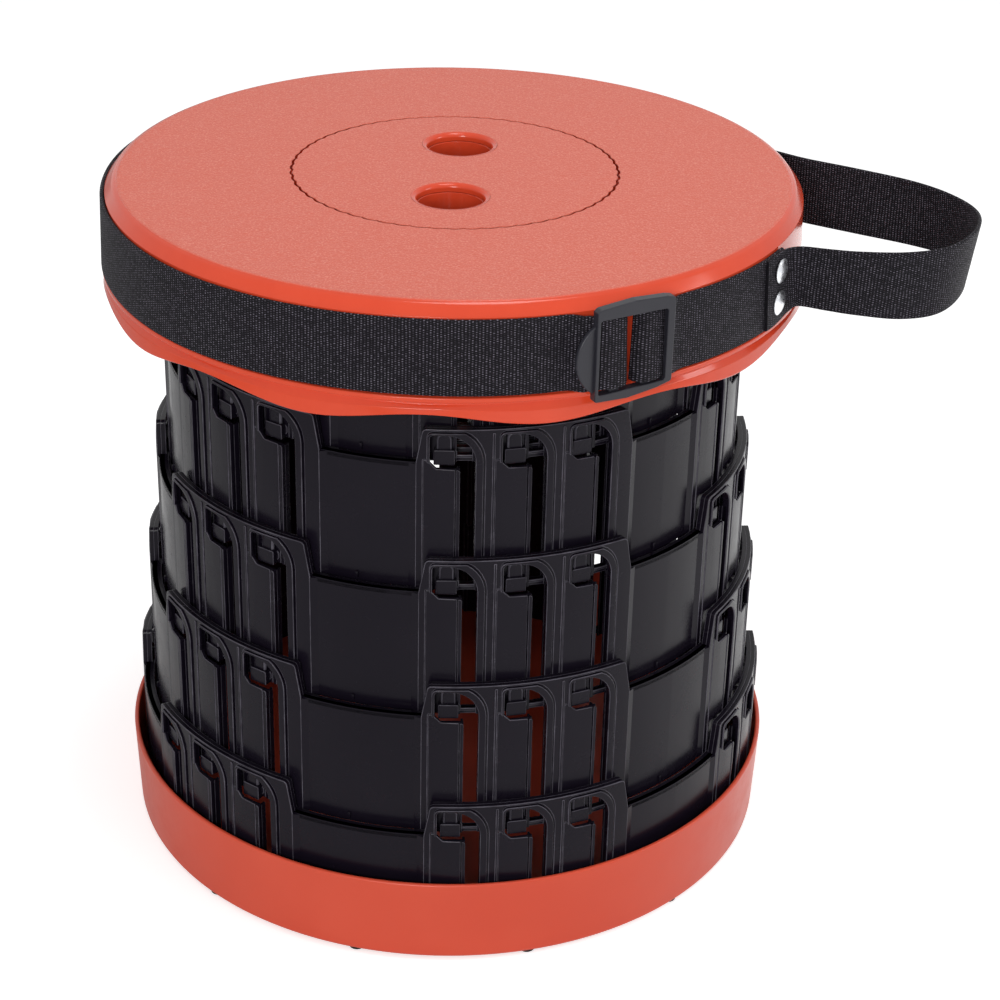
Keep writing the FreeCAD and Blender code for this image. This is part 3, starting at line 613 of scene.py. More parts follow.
@dataclass(frozen=True)
class GrainedSeat(Finish):
    """Seat plastic: sand grain with a painted sheen on the flat top, gloss on the rim, the skirt and the finger holes.
    """

    colour: Triple = (0.62, 0.060, 0.022)
    shade: Triple = (0.59, 0.052, 0.018)
    # Paler colour on the grained top: painted sheen.
    painted_top_sheen: Triple = (0.60, 0.130, 0.086)
    speck: Triple = (0.80, 0.36, 0.29)
    gloss: float = 0.16
    matt: float = 0.5
    specular: float = 0.28
    grain_edge: float = 0.1222
    grain_low: float = 0.2614
    hole_across: float = 0.00155
    hole_up: float = 0.02771
    hole_radius: float = 0.0137
    grain_size: float = 0.00075
    pebble_size: float = 0.0011
    hide_size: float = 0.011
    speck_size: float = 0.0006
    grain_depth: float = 0.00026
    hide_depth: float = 0.00035

    def mask(self, shader: Shader, place_at: Socket) -> Socket:
        """Mark the grained top.

        Args:
            shader: The material's shader.
            place_at: The piece's own coordinates.

        Returns:
            1 on the grain, and 0 on the glossy rim, skirt and finger holes.
        """
        across, along, up = shader.axes(place_at)
        mask = shader.spread(shader.reach(across, along), self.grain_edge - 0.0008, self.grain_edge + 0.0004, 1.0, 0.0)
        for side in SIDES:
            over = shader.math("SUBTRACT", across, side * self.hole_across)
            ahead = shader.math("SUBTRACT", along, side * self.hole_up)
            reach = shader.reach(over, ahead)
            clear = shader.spread(reach, self.hole_radius - 0.0003, self.hole_radius + 0.0006, 0.0, 1.0)
            mask = shader.times(mask, clear)
        return shader.times(mask, shader.spread(up, self.grain_low, self.grain_low + 0.0003, 0.0, 1.0))

    def build(self) -> bpy.types.Material:
        """Make the material.

        Returns:
            The material.
        """
        shader = Shader(self.name)
        place_at = shader.place()
        mask = self.mask(shader, place_at)
        grain = shader.noise(place_at, self.grain_size, 3.0, 0.65)
        pebbles = shader.spread(shader.cells(place_at, self.pebble_size), 0.0, 0.75, 1.0, 0.0)
        hide = shader.noise(place_at, self.hide_size, 4.0, 0.6)
        relief = shader.plus(shader.times(grain, 0.7), shader.times(pebbles, 0.5))
        base = shader.blend(shader.spread(hide, 0.35, 0.65, 0.0, 0.6), self.colour, self.shade)
        # Blends the paler painted sheen over the grained top.
        painted_top_sheen = shader.blend(shader.times(mask, 0.9), base, self.painted_top_sheen)
        speck = shader.spread(shader.noise(place_at, self.speck_size, 1.0), 0.5, 0.72, 0.0, 0.42)
        shader.wear("Base Color", shader.blend(shader.times(speck, mask), painted_top_sheen, self.speck))
        shader.wear("Roughness", shader.spread(mask, 0.0, 1.0, self.gloss, self.matt))
        shader.wear("Specular IOR Level", self.specular)
        shader.bump(shader.times(relief, mask), self.grain_depth)
        shader.bump(shader.times(hide, mask), self.hide_depth)
        return shader.material


@dataclass(frozen=True)
class Webbing(Finish):
    """Black woven webbing: columns of yarn crowns across it, every other column set half a crown over, with a painted
    highlight on the crowns.
    """

    colour: Triple = (0.0036, 0.0028, 0.0048)
    # Light colour on the yarn crowns: painted highlight.
    crown_highlight: Triple = (0.160, 0.145, 0.180)
    column: float = 0.00112
    crown_pitch: float = 0.00080
    depth: float = 0.00030
    wander_size: float = 0.0035
    roughness: float = 0.6
    specular: float = 0.12

    def build(self) -> bpy.types.Material:
        """Make the material.

        Returns:
            The material.
        """
        shader = Shader(self.name)
        along, across, _ = shader.axes(shader.node("ShaderNodeUVMap", uv_map="weave").outputs[0])
        drift = shader.math("SUBTRACT", shader.noise(shader.place(), self.wander_size, 2.0), 0.5)
        wander = shader.times(drift, 0.5)
        columns = shader.plus(shader.math("DIVIDE", along, self.column), wander)
        column = shader.math("FLOOR", columns)
        shift = shader.times(shader.math("FLOORED_MODULO", column, 2.0), 0.5)
        rows = shader.plus(shader.plus(shader.math("DIVIDE", across, self.crown_pitch), shift), wander)
        crowns = shader.times(shader.hump(rows), shader.hump(columns))
        pick = shader.node("ShaderNodeCombineXYZ")
        shader.wire(column, pick.inputs[0])
        shader.wire(shader.math("FLOOR", rows), pick.inputs[1])
        lot = shader.node("ShaderNodeTexWhiteNoise", noise_dimensions="2D")
        shader.wire(pick.outputs[0], lot.inputs["Vector"])
        lit = shader.spread(lot.outputs["Value"], 0.1, 1.0, 0.15, 1.0)
        crest = shader.spread(crowns, 0.58, 0.95, 0.0, 1.0)
        # Paints the highlight colour on each crown's top, brighter on some crowns than on others.
        shader.wear("Base Color", shader.blend(shader.times(crest, lit), self.colour, self.crown_highlight))
        shader.wear("Roughness", self.roughness)
        shader.wear("Specular IOR Level", self.specular)
        shader.bump(crowns, self.depth)
        return shader.material


@dataclass(frozen=True)
class PlatedMetal(Finish):
    """Bright plated metal with faint drawing marks."""

    colour: Triple = (0.72, 0.73, 0.76)
    roughness: float = 0.22
    dull: Triple = (0.5, 0.52, 0.56)
    haze_size: float = 0.0016
    mark_size: float = 0.0004
    mark_depth: float = 0.00002

    def build(self) -> bpy.types.Material:
        """Make the material.

        Returns:
            The material.
        """
        shader = Shader(self.name)
        place_at = shader.place()
        haze = shader.noise(place_at, self.haze_size, 3.0)
        shader.wear("Base Color", shader.blend(shader.spread(haze, 0.4, 0.7, 0.0, 0.5), self.colour, self.dull))
        shader.wear("Metallic", 1.0)
        shader.wear("Roughness", shader.spread(haze, 0.3, 0.7, self.roughness, self.roughness + 0.15))
        shader.bump(shader.noise(place_at, self.mark_size, 2.0), self.mark_depth)
        return shader.material


SEAT_PLASTIC = GrainedSeat("grained_seat_plastic")
TRAY_PLASTIC = MouldedPlastic("satin_tray_plastic", (0.60, 0.072, 0.034), (0.57, 0.062, 0.028), 0.3, 0.3)
RING_PLASTIC = MouldedPlastic(
    "glossy_black_ring_plastic",
    colour=(0.0052, 0.0037, 0.0076),
    shade=(0.0064, 0.0047, 0.0090),
    roughness=0.22,
    specular=0.13,
    # Painted highlight, with some edge wear, on the rings' rounded edges.
    edge_highlight_and_wear=(0.095, 0.088, 0.108),
)
BUCKLE_PLASTIC = MouldedPlastic(
    "black_buckle_plastic", (0.016, 0.0155, 0.021), (0.020, 0.0195, 0.026), 0.34, 0.3, 0.0007, 0.00002
)
FOOT_RUBBER = MouldedPlastic(
    "black_foot_rubber", (0.010, 0.010, 0.010), (0.016, 0.016, 0.016), 0.7, 0.3, 0.0006, 0.00003
)
BELT_WEBBING = Webbing("black_webbing")
RIVET_METAL = PlatedMetal("nickel_rivet")
SCREW_METAL = PlatedMetal("zinc_screw", (0.55, 0.55, 0.54), 0.35)


# Rings


@dataclass
class RingSector:
    """A sixth of a ring, drawn flat and bent round each ring's own radius.

    Across is arc length from the middle of the raised group, up is height from the ring's lower edge and
    out is measured from the group's face. Groups and cells keep their widths in millimetres on every ring.
    """

    height: float = 61.5
    ledge: float = 48.5
    panel_recess: float = 1.0
    wall: float = 2.0
    flange_depth: float = 3.7
    flange: float = 2.0
    half_group: float = 39.4
    half_group_top: float = 37.05
    cell_pitch: float = 24.6
    tongue_left: float = -12.3
    pocket_left: float = -10.0
    slot_left: float = 0.3
    slot_right: float = 5.6
    foot_left: float = -8.8
    foot_right: float = -1.5
    floor: float = 46.9
    chamfer: float = 2.2
    window_top: float = 59.5
    slot_foot: float = 2.5
    arch: float = 10.0
    band: float = 2.6
    groove: float = 0.6
    strip_step: float = 5.2
    reach: float = 68.0

    def sides(self, cell: int) -> tuple[float, float, float, float]:
        """Return a cell's middle, its pocket's left side, and its slot's left and right sides."""
        middle = cell * self.cell_pitch
        return middle, middle + self.pocket_left, middle + self.slot_left, middle + self.slot_right

    def arch_points(self, right: float, grow: float, top: float = 99.0, steps: int = 9) -> list[Point]:
        """Return the quarter arch over a slot, from its right side to its crown.

        Args:
            right: The slot's right side.
            grow: Distance outside the window's own arch.
            top: Height at which the arch is cut off flat.
            steps: Edges in the quarter.

        Returns:
            The arch's points.
        """
        centre = right - self.arch
        foot = self.window_top - self.arch
        radius = self.arch + grow
        turns = [math.pi / 2 * step / steps for step in range(steps + 1)]
        return [(centre + radius * math.cos(turn), min(foot + radius * math.sin(turn), top)) for turn in turns]

    def shoulders(self) -> list[Point]:
        """Draw the group's right side, top and left side.

        Returns:
            The points, from the lower right corner.
        """
        side = self.half_group
        corners = [(side, 0), (side, self.ledge, 2.6), (self.half_group_top, self.height, 1.7)]
        mirrored = [(-across, *rest) for across, *rest in reversed(corners)]
        return rounded(corners + mirrored, closed=False)

    def group_outline(self) -> list[Point]:
        """Draw the raised group, with a notch for each pocket, slot, channel and strip.

        Returns:
            The outline's points.
        """
        reach = self.band + self.groove
        turn = self.floor + self.chamfer + 1.0
        top = self.height - 0.9
        notches: list[Point] = []
        for cell in CELLS:
            middle, left, _, right = self.sides(cell)
            channel = middle + self.tongue_left
            notches += [(channel, 0.0), (channel, turn), (left - 0.8, turn)]
            notches += rounded([(left - 0.8, 50), (left - 0.8, top, 2.0), (left + 9, top)], 4, False)[1:-1]
            notches += list(reversed(self.arch_points(right, reach, top)))
            notches += [(right + reach, 0.0)]
        shoulders = self.shoulders()
        return [shoulders[-1]] + notches + shoulders[:-1]

    def rim_outline(self) -> list[Point]:
        """Draw the flange that follows the group's sides and top, as an upside-down U.

        Returns:
            The outline's points.
        """
        side, top, high = (size - self.flange for size in (self.half_group, self.half_group_top, self.height))
        corners = [(-side, 0), (-side, self.ledge, 1.5), (-top, high, 1.2)]
        mirrored = [(-across, *rest) for across, *rest in reversed(corners)]
        return self.shoulders() + rounded(corners + mirrored, closed=False)

    def backing(self, cell: int) -> list[Item]:
        """Build what lies behind a cell's raised strip, bead and panel, so that the grooves have a floor.

        Args:
            cell: -1, 0 or 1, from the left.

        Returns:
            The parts, flat.
        """
        middle, left, slot, right = self.sides(cell)
        top = self.height - 0.6
        reach = self.band + self.groove + 0.4
        strip = [(right, 0), (right + reach, 0)] + self.arch_points(right, reach, top)
        strip += [(left - 2.0, top), (left - 2.0, self.floor), (left, self.floor), (left, self.window_top)]
        strip += list(reversed(self.arch_points(right, 0)))
        start = middle + self.tongue_left - 0.3
        floor, shoulder = self.floor, self.floor + self.chamfer
        tongue = [(start, 0), (slot, 0), (slot, floor), (left + self.chamfer, floor)]
        tongue += [(left, shoulder), (start, shoulder)]
        foot, deep = self.slot_foot, -self.flange_depth + 0.2
        return [
            plate(strip, -self.wall, -0.45, 0),
            plate(tongue, -1.0, -0.25, 0),
            box(slot - 0.6, right + 0.6, 0, foot, -self.wall, 0.0, 0.25),
            box(slot - 0.4, right + 0.4, foot - 1.1, foot, -1.2, 0.7, 0.35),
            box(slot - 1.0, slot, 0, floor - 0.5, deep, -0.9, 0.3),
            box(right, right + 1.0, 0, self.window_top - self.arch, deep, -1.9, 0.3),
        ]

    def panel(self, cell: int) -> Item:
        """Build a cell's raised panel, highest at the slot and sloping down to its left.

        Args:
            cell: -1, 0 or 1, from the left.

        Returns:
            The panel, flat.
        """
        middle, left, slot, _ = self.sides(cell)
        start, stop = middle + self.tongue_left + 0.12, slot - 1.65
        shoulder = self.floor + self.chamfer + 0.9
        corners = [(start, 0), (stop, 0), (stop, self.floor, 0.5), (left + self.chamfer, self.floor, 0.8)]
        corners += [(left - 0.9, shoulder), (start, shoulder)]
        panel = plate(rounded(corners, 3), -0.6, 0.8, 0.36, 3)
        rows = coordinates(panel)
        raised = rows[:, 2] > 0.1
        share = np.clip((rows[:, 0] - start) / (stop - start), 0, 1)
        rows[raised, 2] -= 0.62 * (1 - share[raised])
        set_coordinates(panel, rows)
        return panel

    def cell_parts(self, cell: int) -> list[Item]:
        """Build one cell's raised panel, bead, frame and arch.

        Args:
            cell: -1, 0 or 1, from the left.

        Returns:
            The parts, flat.
        """
        middle, left, slot, right = self.sides(cell)
        high = self.floor - 0.1
        bead = rounded([(slot - 1.25, 0), (slot, 0), (slot, high, 0.9), (slot - 1.25, high, 0.3)], 4)
        top, shoulder, window = self.height - 1.15, self.floor + self.chamfer, self.window_top
        band = [(right, 0), (right + self.band, 0)] + self.arch_points(right, self.band, top)
        band += rounded([(left + 6, top), (left - 0.95, top, 2.0), (left - 0.95, shoulder)], 5, False)[1:]
        band += rounded([(left, shoulder - 0.1), (left, window, 1.3), (left + 5, window)], 4, False)[:-1]
        band += list(reversed(self.arch_points(right, 0)))
        parts = [self.panel(cell), plate(bead, -0.8, 0.9, 0.45, 3), plate(band, -self.wall, 0.8, 0.42, 3)]
        parts += self.backing(cell)
        if cell < CELLS[-1]:
            ridge = middle + self.cell_pitch + self.tongue_left
            parts.append(box(ridge - 1.15, ridge - 0.1, 0, self.height - 1.2, -0.6, 0.38, 0.28))
        return parts

    def feet(self, is_lowest: bool) -> Item:
        """Build the sector's locking feet, each with its domed gusset above the lowest ring.

        Args:
            is_lowest: Whether it is the ring in the tray.

        Returns:
            The feet, flat, at the places of the pockets that they lock in.
        """
        reach = 1.75 if is_lowest else 3.6
        parts = []
        for cell in CELLS:
            left = cell * self.cell_pitch + self.foot_left
            right = cell * self.cell_pitch + self.foot_right
            foot = rounded([(left, 0), (right, 0), (right, 5.5, 0.5), (left, 5.5, 0.5)], 3)
            parts.append(plate(foot, -1.0, reach, 0.38, 3))
            if is_lowest:
                continue
            centre = (left + right) / 2
            dome = [(centre - 2.7, 4.5), (centre + 2.7, 4.5), (centre + 2.7, 11.5, 2.65), (centre - 2.7, 11.5, 2.65)]
            parts.append(plate(rounded(dome, 8), -1.0, 2.6, 1.0, 4))
            nib = [(right - 0.2, 1.0), (right + 0.9, 2.2), (right + 0.9, 4.2), (right - 0.2, 5.2)]
            parts.append(plate(nib, -1.0, 1.3, 0.3))
        return self.narrow(merge("ring_feet", parts))

    def mark_edge_highlights(self, flat: Item) -> None:
        """Mark the narrow slanting faces of rounded edges, which carry a painted highlight with some edge wear in the
        ring's finish.

        Args:
            flat: The flat piece.
        """
        layer = flat.data.attributes.new("edge_highlight_and_wear", "FLOAT", "FACE")
        normals = np.empty(len(flat.data.polygons) * 3)
        flat.data.polygons.foreach_get("normal", normals)
        slant = np.abs(normals.reshape(-1, 3)[:, 2])
        layer.data.foreach_set("value", ((slant > 0.12) & (slant < 0.93)).astype(np.float32))

    def slice_at(self, flat: Item, at: float, facing: int, **settings: bool) -> None:
        """Cut a flat piece along an upright line.

        Args:
            flat: The flat piece.
            at: The line's place across.
            facing: The side that counts as outside, 1 or -1.
            **settings: More of the cut's settings.
        """
        line = {"plane_co": (at, 0, 0), "plane_no": (facing, 0, 0), "threshold": 1e-4}
        in_edit_mode(flat, lambda: bpy.ops.mesh.bisect(**line, **settings))

    def narrow(self, flat: Item) -> Item:
        """Cut a flat piece into narrow upright strips, so that it bends smoothly.

        Args:
            flat: The flat piece.

        Returns:
            The same piece.
        """
        # Marks the rounded edges for their painted highlight.
        self.mark_edge_highlights(flat)
        methods = {"quad_method": "BEAUTY", "ngon_method": "BEAUTY"}
        in_edit_mode(flat, lambda: bpy.ops.mesh.quads_convert_to_tris(**methods))
        for step in range(-12, 13):
            self.slice_at(flat, step * self.strip_step, 1)
        return flat

    def sector(self) -> Item:
        """Build the flat sector, a little wider than any ring needs.

        Returns:
            The sector.
        """
        recess, half, ledge = self.panel_recess, self.half_group, self.ledge
        parts = [
            plate(self.group_outline(), -self.wall, 0.0, 0.3),
            plate(self.rim_outline(), -self.flange_depth, -1.6, 0.3),
        ]
        for side in SIDES:
            left, right = sorted((side * (half - 2.0), side * self.reach))
            parts.append(box(left, right, 0, ledge, -recess - self.wall, -recess, 0))
            parts.append(box(left, right, ledge - self.flange, ledge, -recess - self.flange_depth, -recess, 0.32))
            left, right = sorted((side * (half - 0.4), side * (half + 2.4)))
            slope = box(left, right, 0, ledge - 0.4, -2.0, -0.02, 0)
            rows = coordinates(slope)
            rows[(rows[:, 2] > -1) & (np.abs(rows[:, 0]) > half + 1), 2] = -recess
            set_coordinates(slope, rows)
            parts.append(slope)
        for cell in CELLS:
            parts += self.cell_parts(cell)
        return self.narrow(merge("ring_sector", parts))

    def trimmed(self, flat: Item, half: float) -> Item:
        """Copy the sector, cut off to each side.

        Args:
            flat: The flat sector.
            half: Half the width that is kept.

        Returns:
            The copy.
        """
        copy = twin(flat, Matrix.Identity(4))
        for side in SIDES:
            self.slice_at(copy, side * half, side, clear_outer=True)
        return copy

    def wrap(self, flat: Item, name: str, drawn: float, radius: float, low: float, turn: float) -> Item:
        """Bend six copies of a flat sector into a ring.

        Args:
            flat: The flat sector.
            name: The ring's name.
            drawn: The radius at which the flat sector's widths are true.
            radius: The ring's radius on its groups, in millimetres.
            low: The height of its lower edge, in millimetres.
            turn: The angle of the first group's middle, in degrees.

        Returns:
            The ring, in metres.
        """
        rows = coordinates(flat)
        parts = []
        for group in range(6):
            bend = rows[:, 0] / drawn + math.radians(turn + 60 * group)
            out = radius + rows[:, 2]
            bent = np.column_stack((out * np.sin(bend), -out * np.cos(bend), rows[:, 1] + low)) * MM
            copy = twin(flat, Matrix.Identity(4))
            set_coordinates(copy, bent)
            parts.append(copy)
        ring = merge(name, parts)
        in_edit_mode(ring, lambda: bpy.ops.mesh.remove_doubles(threshold=1e-6))
        return ring


@dataclass
class Rings:
    """The nine nested locking rings."""

    outer: float = 123.0
    pitch: float = 5.0
    count: int = 9
    nested_from: int = 6
    base: float = 5.0
    lift: float = 47.5
    nest_step: float = 0.375
    middle_turn: float = 14.45
    tab_low: float = 53.5
    tab_high: float = 55.5
    tab_inner: float = 69.0
    tab_outer: float = 81.5
    screw_circle: float = 74.0

    def low(self, ring: int) -> float:
        """Return the height of a ring's lower edge."""
        lifts, nested = min(ring, self.nested_from - 1) - 1, max(ring - self.nested_from + 1, 0)
        return self.base + lifts * self.lift + nested * self.nest_step

    def fixing_tab(self) -> Item:
        """Build the tab that a seat screw holds.

        Returns:
            The tab, lying flat with its hole.
        """
        half, inner, outer = 6.0, -self.tab_inner, -self.tab_outer
        outline = rounded([(-half, outer), (half, outer), (half, inner, 2.5), (-half, inner, 2.5)])
        tab = plate(outline, 0, self.tab_high - self.tab_low, 0)
        cut_with(tab, [round_bar(0, -self.screw_circle, 1.7, -1, 4, 24)])
        bevel_edges(tab, 0.25)
        return tab

    def drawn(self, ring: int) -> float:
        """Return the radius at which a ring's flat widths are true; the nested rings take the fifth ring's angles."""
        return self.outer - (min(ring, self.nested_from - 1) - 1) * self.pitch

    def peg(self, ring: int) -> Item:
        """Build the small detent peg of a ring, flat."""
        at = math.radians(28.0) * self.drawn(ring)
        return box(at - 0.55, at + 0.55, 1.4, 3.9, -1.5, -0.15, 0.35)

    def ring(self, ring: int, sector: RingSector, plain: Item, feet: Item) -> Item:
        """Build one ring.

        Args:
            ring: Its number, from the lowest.
            sector: The sector's maker.
            plain: The flat sector.
            feet: The flat feet.

        Returns:
            The ring, in metres.
        """
        drawn = self.drawn(ring)
        stretch = Matrix.Scale(drawn / self.drawn(max(ring - 1, 1)), 4, (1, 0, 0))
        parts = [sector.trimmed(plain, math.pi / 6 * drawn), place(twin(feet, Matrix.Identity(4)), stretch)]
        if ring > 1:
            parts.append(self.peg(ring))
        flat = merge("ring_flat", parts)
        radius = self.outer - (ring - 1) * self.pitch
        item = sector.wrap(flat, f"locking_ring_{ring}", drawn, radius, self.low(ring), self.middle_turn)
        discard(flat)
        return item

    def with_tabs(self, item: Item) -> Item:
        """Add the six fixing tabs to the innermost ring.

        Args:
            item: The ring.

        Returns:
            The ring with its tabs.
        """
        tab = self.fixing_tab()
        lift = Matrix.Translation((0, 0, (self.low(self.count) + self.tab_low)))
        turns = [turn_z(self.middle_turn + 60 * side) for side in range(6)]
        tabs = [twin(tab, Matrix.Scale(MM, 4) @ turn @ lift) for turn in turns]
        discard(tab)
        return merge(item.name, [item] + tabs)

    def build(self) -> None:
        """Build and dress every ring."""
        sector = RingSector()
        plain = sector.sector()
        feet = {lowest: sector.feet(lowest) for lowest in (True, False)}
        bodies = {1: Body.BASE.value, self.count: Body.SEAT.value}
        for ring in range(1, self.count + 1):
            item = self.ring(ring, sector, plain, feet[ring == 1])
            if ring == self.count:
                item = self.with_tabs(item)
            finish_mesh(item)
            ride(item, bodies.get(ring, f"stage_{ring}"), [f"ring_{ring}"], RING_PLASTIC)
        discard(plain, *feet.values())


# Tray and feet


@dataclass
class Tray:
    """The tray base: a shallow turned dish with a rounded rim, in which the lowest ring snaps."""

    low: float = 1.0
    floor: float = 5.0
    rim: float = 34.8
    low_radius: float = 125.6
    rim_radius: float = 127.0
    bore: float = 124.3
    rim_bore: float = 125.2
    steps: int = 240
    foot_count: int = 12

    def profile(self) -> list[Point]:
        """Draw the tray's section: underside with its shallow groove, wall, rim, snap groove and floor.

        Returns:
            The points (radius, height), from the axis and back to it.
        """
        low, rim, bore, snap = self.low, self.rim, self.bore, self.bore + 0.6
        under = [(0, low), (105, low), (106, low + 0.35, 0.3), (107, low, 0.3), (self.low_radius, low, 2.0)]
        wall = [(self.rim_radius, rim, 0.75), (self.rim_bore, rim, 0.75), (bore, 14.2, 3.0)]
        inside = [(bore, 11.2), (snap, 10.8), (snap, self.floor, 0.5), (60, self.floor), (0, self.floor)]
        return rounded(under + wall + inside)

    def build(self) -> None:
        """Build and dress the tray, and dress its rubber feet."""
        tray = turned(self.profile(), self.steps, closed=False)
        place(tray, Matrix.Scale(MM, 4))
        tray.name = "tray_base"
        finish_mesh(tray)
        ride(tray, Body.BASE.value, ["base_tray"], TRAY_PLASTIC)
        for index in range(1, self.foot_count + 1):
            dress_node(f"rubber_foot_{index}", FOOT_RUBBER)


def dress_node(name: str, finish: Finish) -> None:
    """Give a frame node's own object a finish.

    Args:
        name: The node's name.
        finish: The finish that it wears.
    """
    node = bpy.data.objects[name]
    material = finish.material()
    if not node.material_slots:
        node.data.materials.append(material)
    for slot in node.material_slots:
        slot.material = material
    log.info("%s: dressed", name)


# Seat

FINGER_HOLES: tuple[Point, Point] = ((1.55, 27.71), (-1.55, -27.71))


@dataclass
class Seat:
    """The seat moulding: grained plate, glossy rim, belt channel, lip and wavy hem, with its underside."""

    top: float = 262.0
    steps: int = 480
    lobes: int = 60
    lobe_depth: float = 0.6
    well_radius: float = 60.2
    well_depth: float = 3.2
    well_floor: float = 3.0
    plate: float = 4.0
    rim_radius: float = 125.0
    rim_round: float = 3.5
    bore: float = 124.6
    channel_top: float = 4.3
    channel_low: float = 31.4
    lip_radius: float = 128.4
    hem_radius: float = 128.2
    depth: float = 42.0
    wave: float = 4.2
    waves: int = 10
    wave_turn: float = -4.0
    finger_radius: float = 12.0
    rib_turn: float = 7.5
    screw_circle: float = 74.0
    screw_turn: float = 14.45
    boss_low: float = 252.0

    def rim_arc(self) -> list[Point]:
        """Return the points of the rim's round, up from where it runs tangent to the channel's edge."""
        inner = self.rim_radius - self.rim_round
        turns = [math.radians(turn) for turn in range(50, -1, -10)]
        return [(inner + self.rim_round * math.sin(turn), -self.rim_round * (1 - math.cos(turn))) for turn in turns]

    def profile(self) -> list[Point]:
        """Draw the section of plate, rim, channel and skirt.

        Returns:
            The points (radius, height below the top).
        """
        well, bore, hem, lip = self.well_radius, self.bore, self.hem_radius, self.lip_radius + 0.5
        base, low, depth = -self.well_depth - self.well_floor, -self.channel_low, -self.depth
        return rounded(
            [
                (well, 0, 0.25),
                (well, -self.well_depth - 0.1),
                (well, base),
                (well + 2.5, base, 0.6),
                (well + 2.5, -self.plate, 0.6),
                (bore - 0.9, -self.plate, 0.8),
                (bore, -self.plate - 6),
                (bore, low - 2),
                (bore + 0.6, depth + 2),
                (bore + 0.8, depth, 0.6),
                (hem + 0.7, depth, 0.9),
                (hem + 0.1, low - 5.4, 2.0),
                (hem - 1.1, low - 3.0, 1.0),
                (hem - 1.1, low - 2.1, 0.35),
                (lip, low - 1.8, 0.55),
                (lip, low - 0.1, 0.55),
                (127.5, low, 0.3),
                (126.62, -self.channel_top, 0.35),
                *self.rim_arc(),
            ]
        )

    def shell(self) -> Item:
        """Build the turned plate, rim, channel and skirt, with the lobed well edge and the wavy hem.

        Returns:
            The shell, with its top at z = 0.
        """
        shell = turned(self.profile(), self.steps)
        rows = coordinates(shell)
        radius = np.hypot(rows[:, 0], rows[:, 1])
        turn = np.arctan2(rows[:, 0], -rows[:, 1])
        crest = (1 + np.cos(self.waves * (turn - math.radians(self.wave_turn)))) / 2
        share = np.clip((-rows[:, 2] - self.channel_low - 3.5) / (self.depth - self.channel_low - 3.5), 0, 1)
        rows[:, 2] += share * self.wave * crest
        edge = (radius < self.well_radius + 0.4) & (rows[:, 2] > -self.well_depth - 0.05)
        lobe = np.abs(np.cos(self.lobes / 2 * turn))
        scale = np.where(edge, (radius - self.lobe_depth * (1 - lobe)) / radius, 1.0)
        rows[:, :2] *= scale[:, None]
        set_coordinates(shell, rows)
        return shell

    def well(self) -> Item:
        """Build the well's floor with its finger holes and clip slots.

        Returns:
            The floor, as deep below z = 0 as it lies in the seat.
        """
        floor = plate(circle(self.well_radius + 0.5, 96), -self.well_depth - self.well_floor, -self.well_depth, 0)
        tools = [round_bar(across, up, self.finger_radius, -20, 5) for across, up in FINGER_HOLES]
        for left, right in ((43.6, 47.4), (-47.4, -43.6)):
            tools.append(box(left, right, -4.2, 4.2, -20, 5, 0))
        cut_with(floor, tools)
        bevel_edges(floor, 0.2, 1)
        return floor

    def collar(self) -> Item:
        """Build one finger collar under the well's floor, centred on the axis."""
        radius = self.finger_radius
        profile = rounded([(radius, -3.3, 0.3), (radius, -11, 0.5), (radius + 2, -11, 0.5), (radius + 2, -3.3)])
        return turned(profile, 72)

    def rib(self) -> Item:
        """Build one stiffening rib, lying along +X."""
        corners = [(16, -11.2, 0.5), (62.4, -11.2), (66, -8.5, 1.0), (66, -3.8), (16, -6.0)]
        return plate(rounded(corners), -1.0, 1.0, 0.25)

    def boss(self) -> Item:
        """Build one screw boss, standing at the front."""
        low = self.boss_low - self.top
        profile = rounded([(1.5, low, 0.2), (4.0, low, 0.4), (4.0, -3.8), (1.5, -3.8)])
        return place(turned(profile, 32), Matrix.Translation((0, -self.screw_circle, 0)))

    def ribs(self) -> Item:
        """Build the twelve stiffening ribs, cut free round the finger holes.

        Returns:
            The ribs.
        """
        rib = self.rib()
        stand = Matrix.Rotation(math.radians(90), 4, "X")
        ribs = merge("ribs", [twin(rib, turn_z(self.rib_turn + 30 * index) @ stand) for index in range(12)])
        cut_with(ribs, [round_bar(across, up, self.finger_radius + 0.6, -20, 5) for across, up in FINGER_HOLES])
        discard(rib)
        return ribs

    def build(self) -> None:
        """Build and dress the seat moulding."""
        parts = [self.shell(), self.well()]
        collar = self.collar()
        parts += [twin(collar, Matrix.Translation((across, up, 0))) for across, up in FINGER_HOLES]
        parts.append(self.ribs())
        boss = self.boss()
        parts += [twin(boss, turn_z(self.screw_turn + 60 * index)) for index in range(6)]
        discard(collar, boss)
        seat = merge("seat_moulding", parts)
        place(seat, Matrix.Translation((0, 0, self.top * MM)) @ Matrix.Scale(MM, 4))
        finish_mesh(seat)
        ride(seat, Body.SEAT.value, ["seat_top"], SEAT_PLASTIC)
        dress_node("seat_screws", SCREW_METAL)


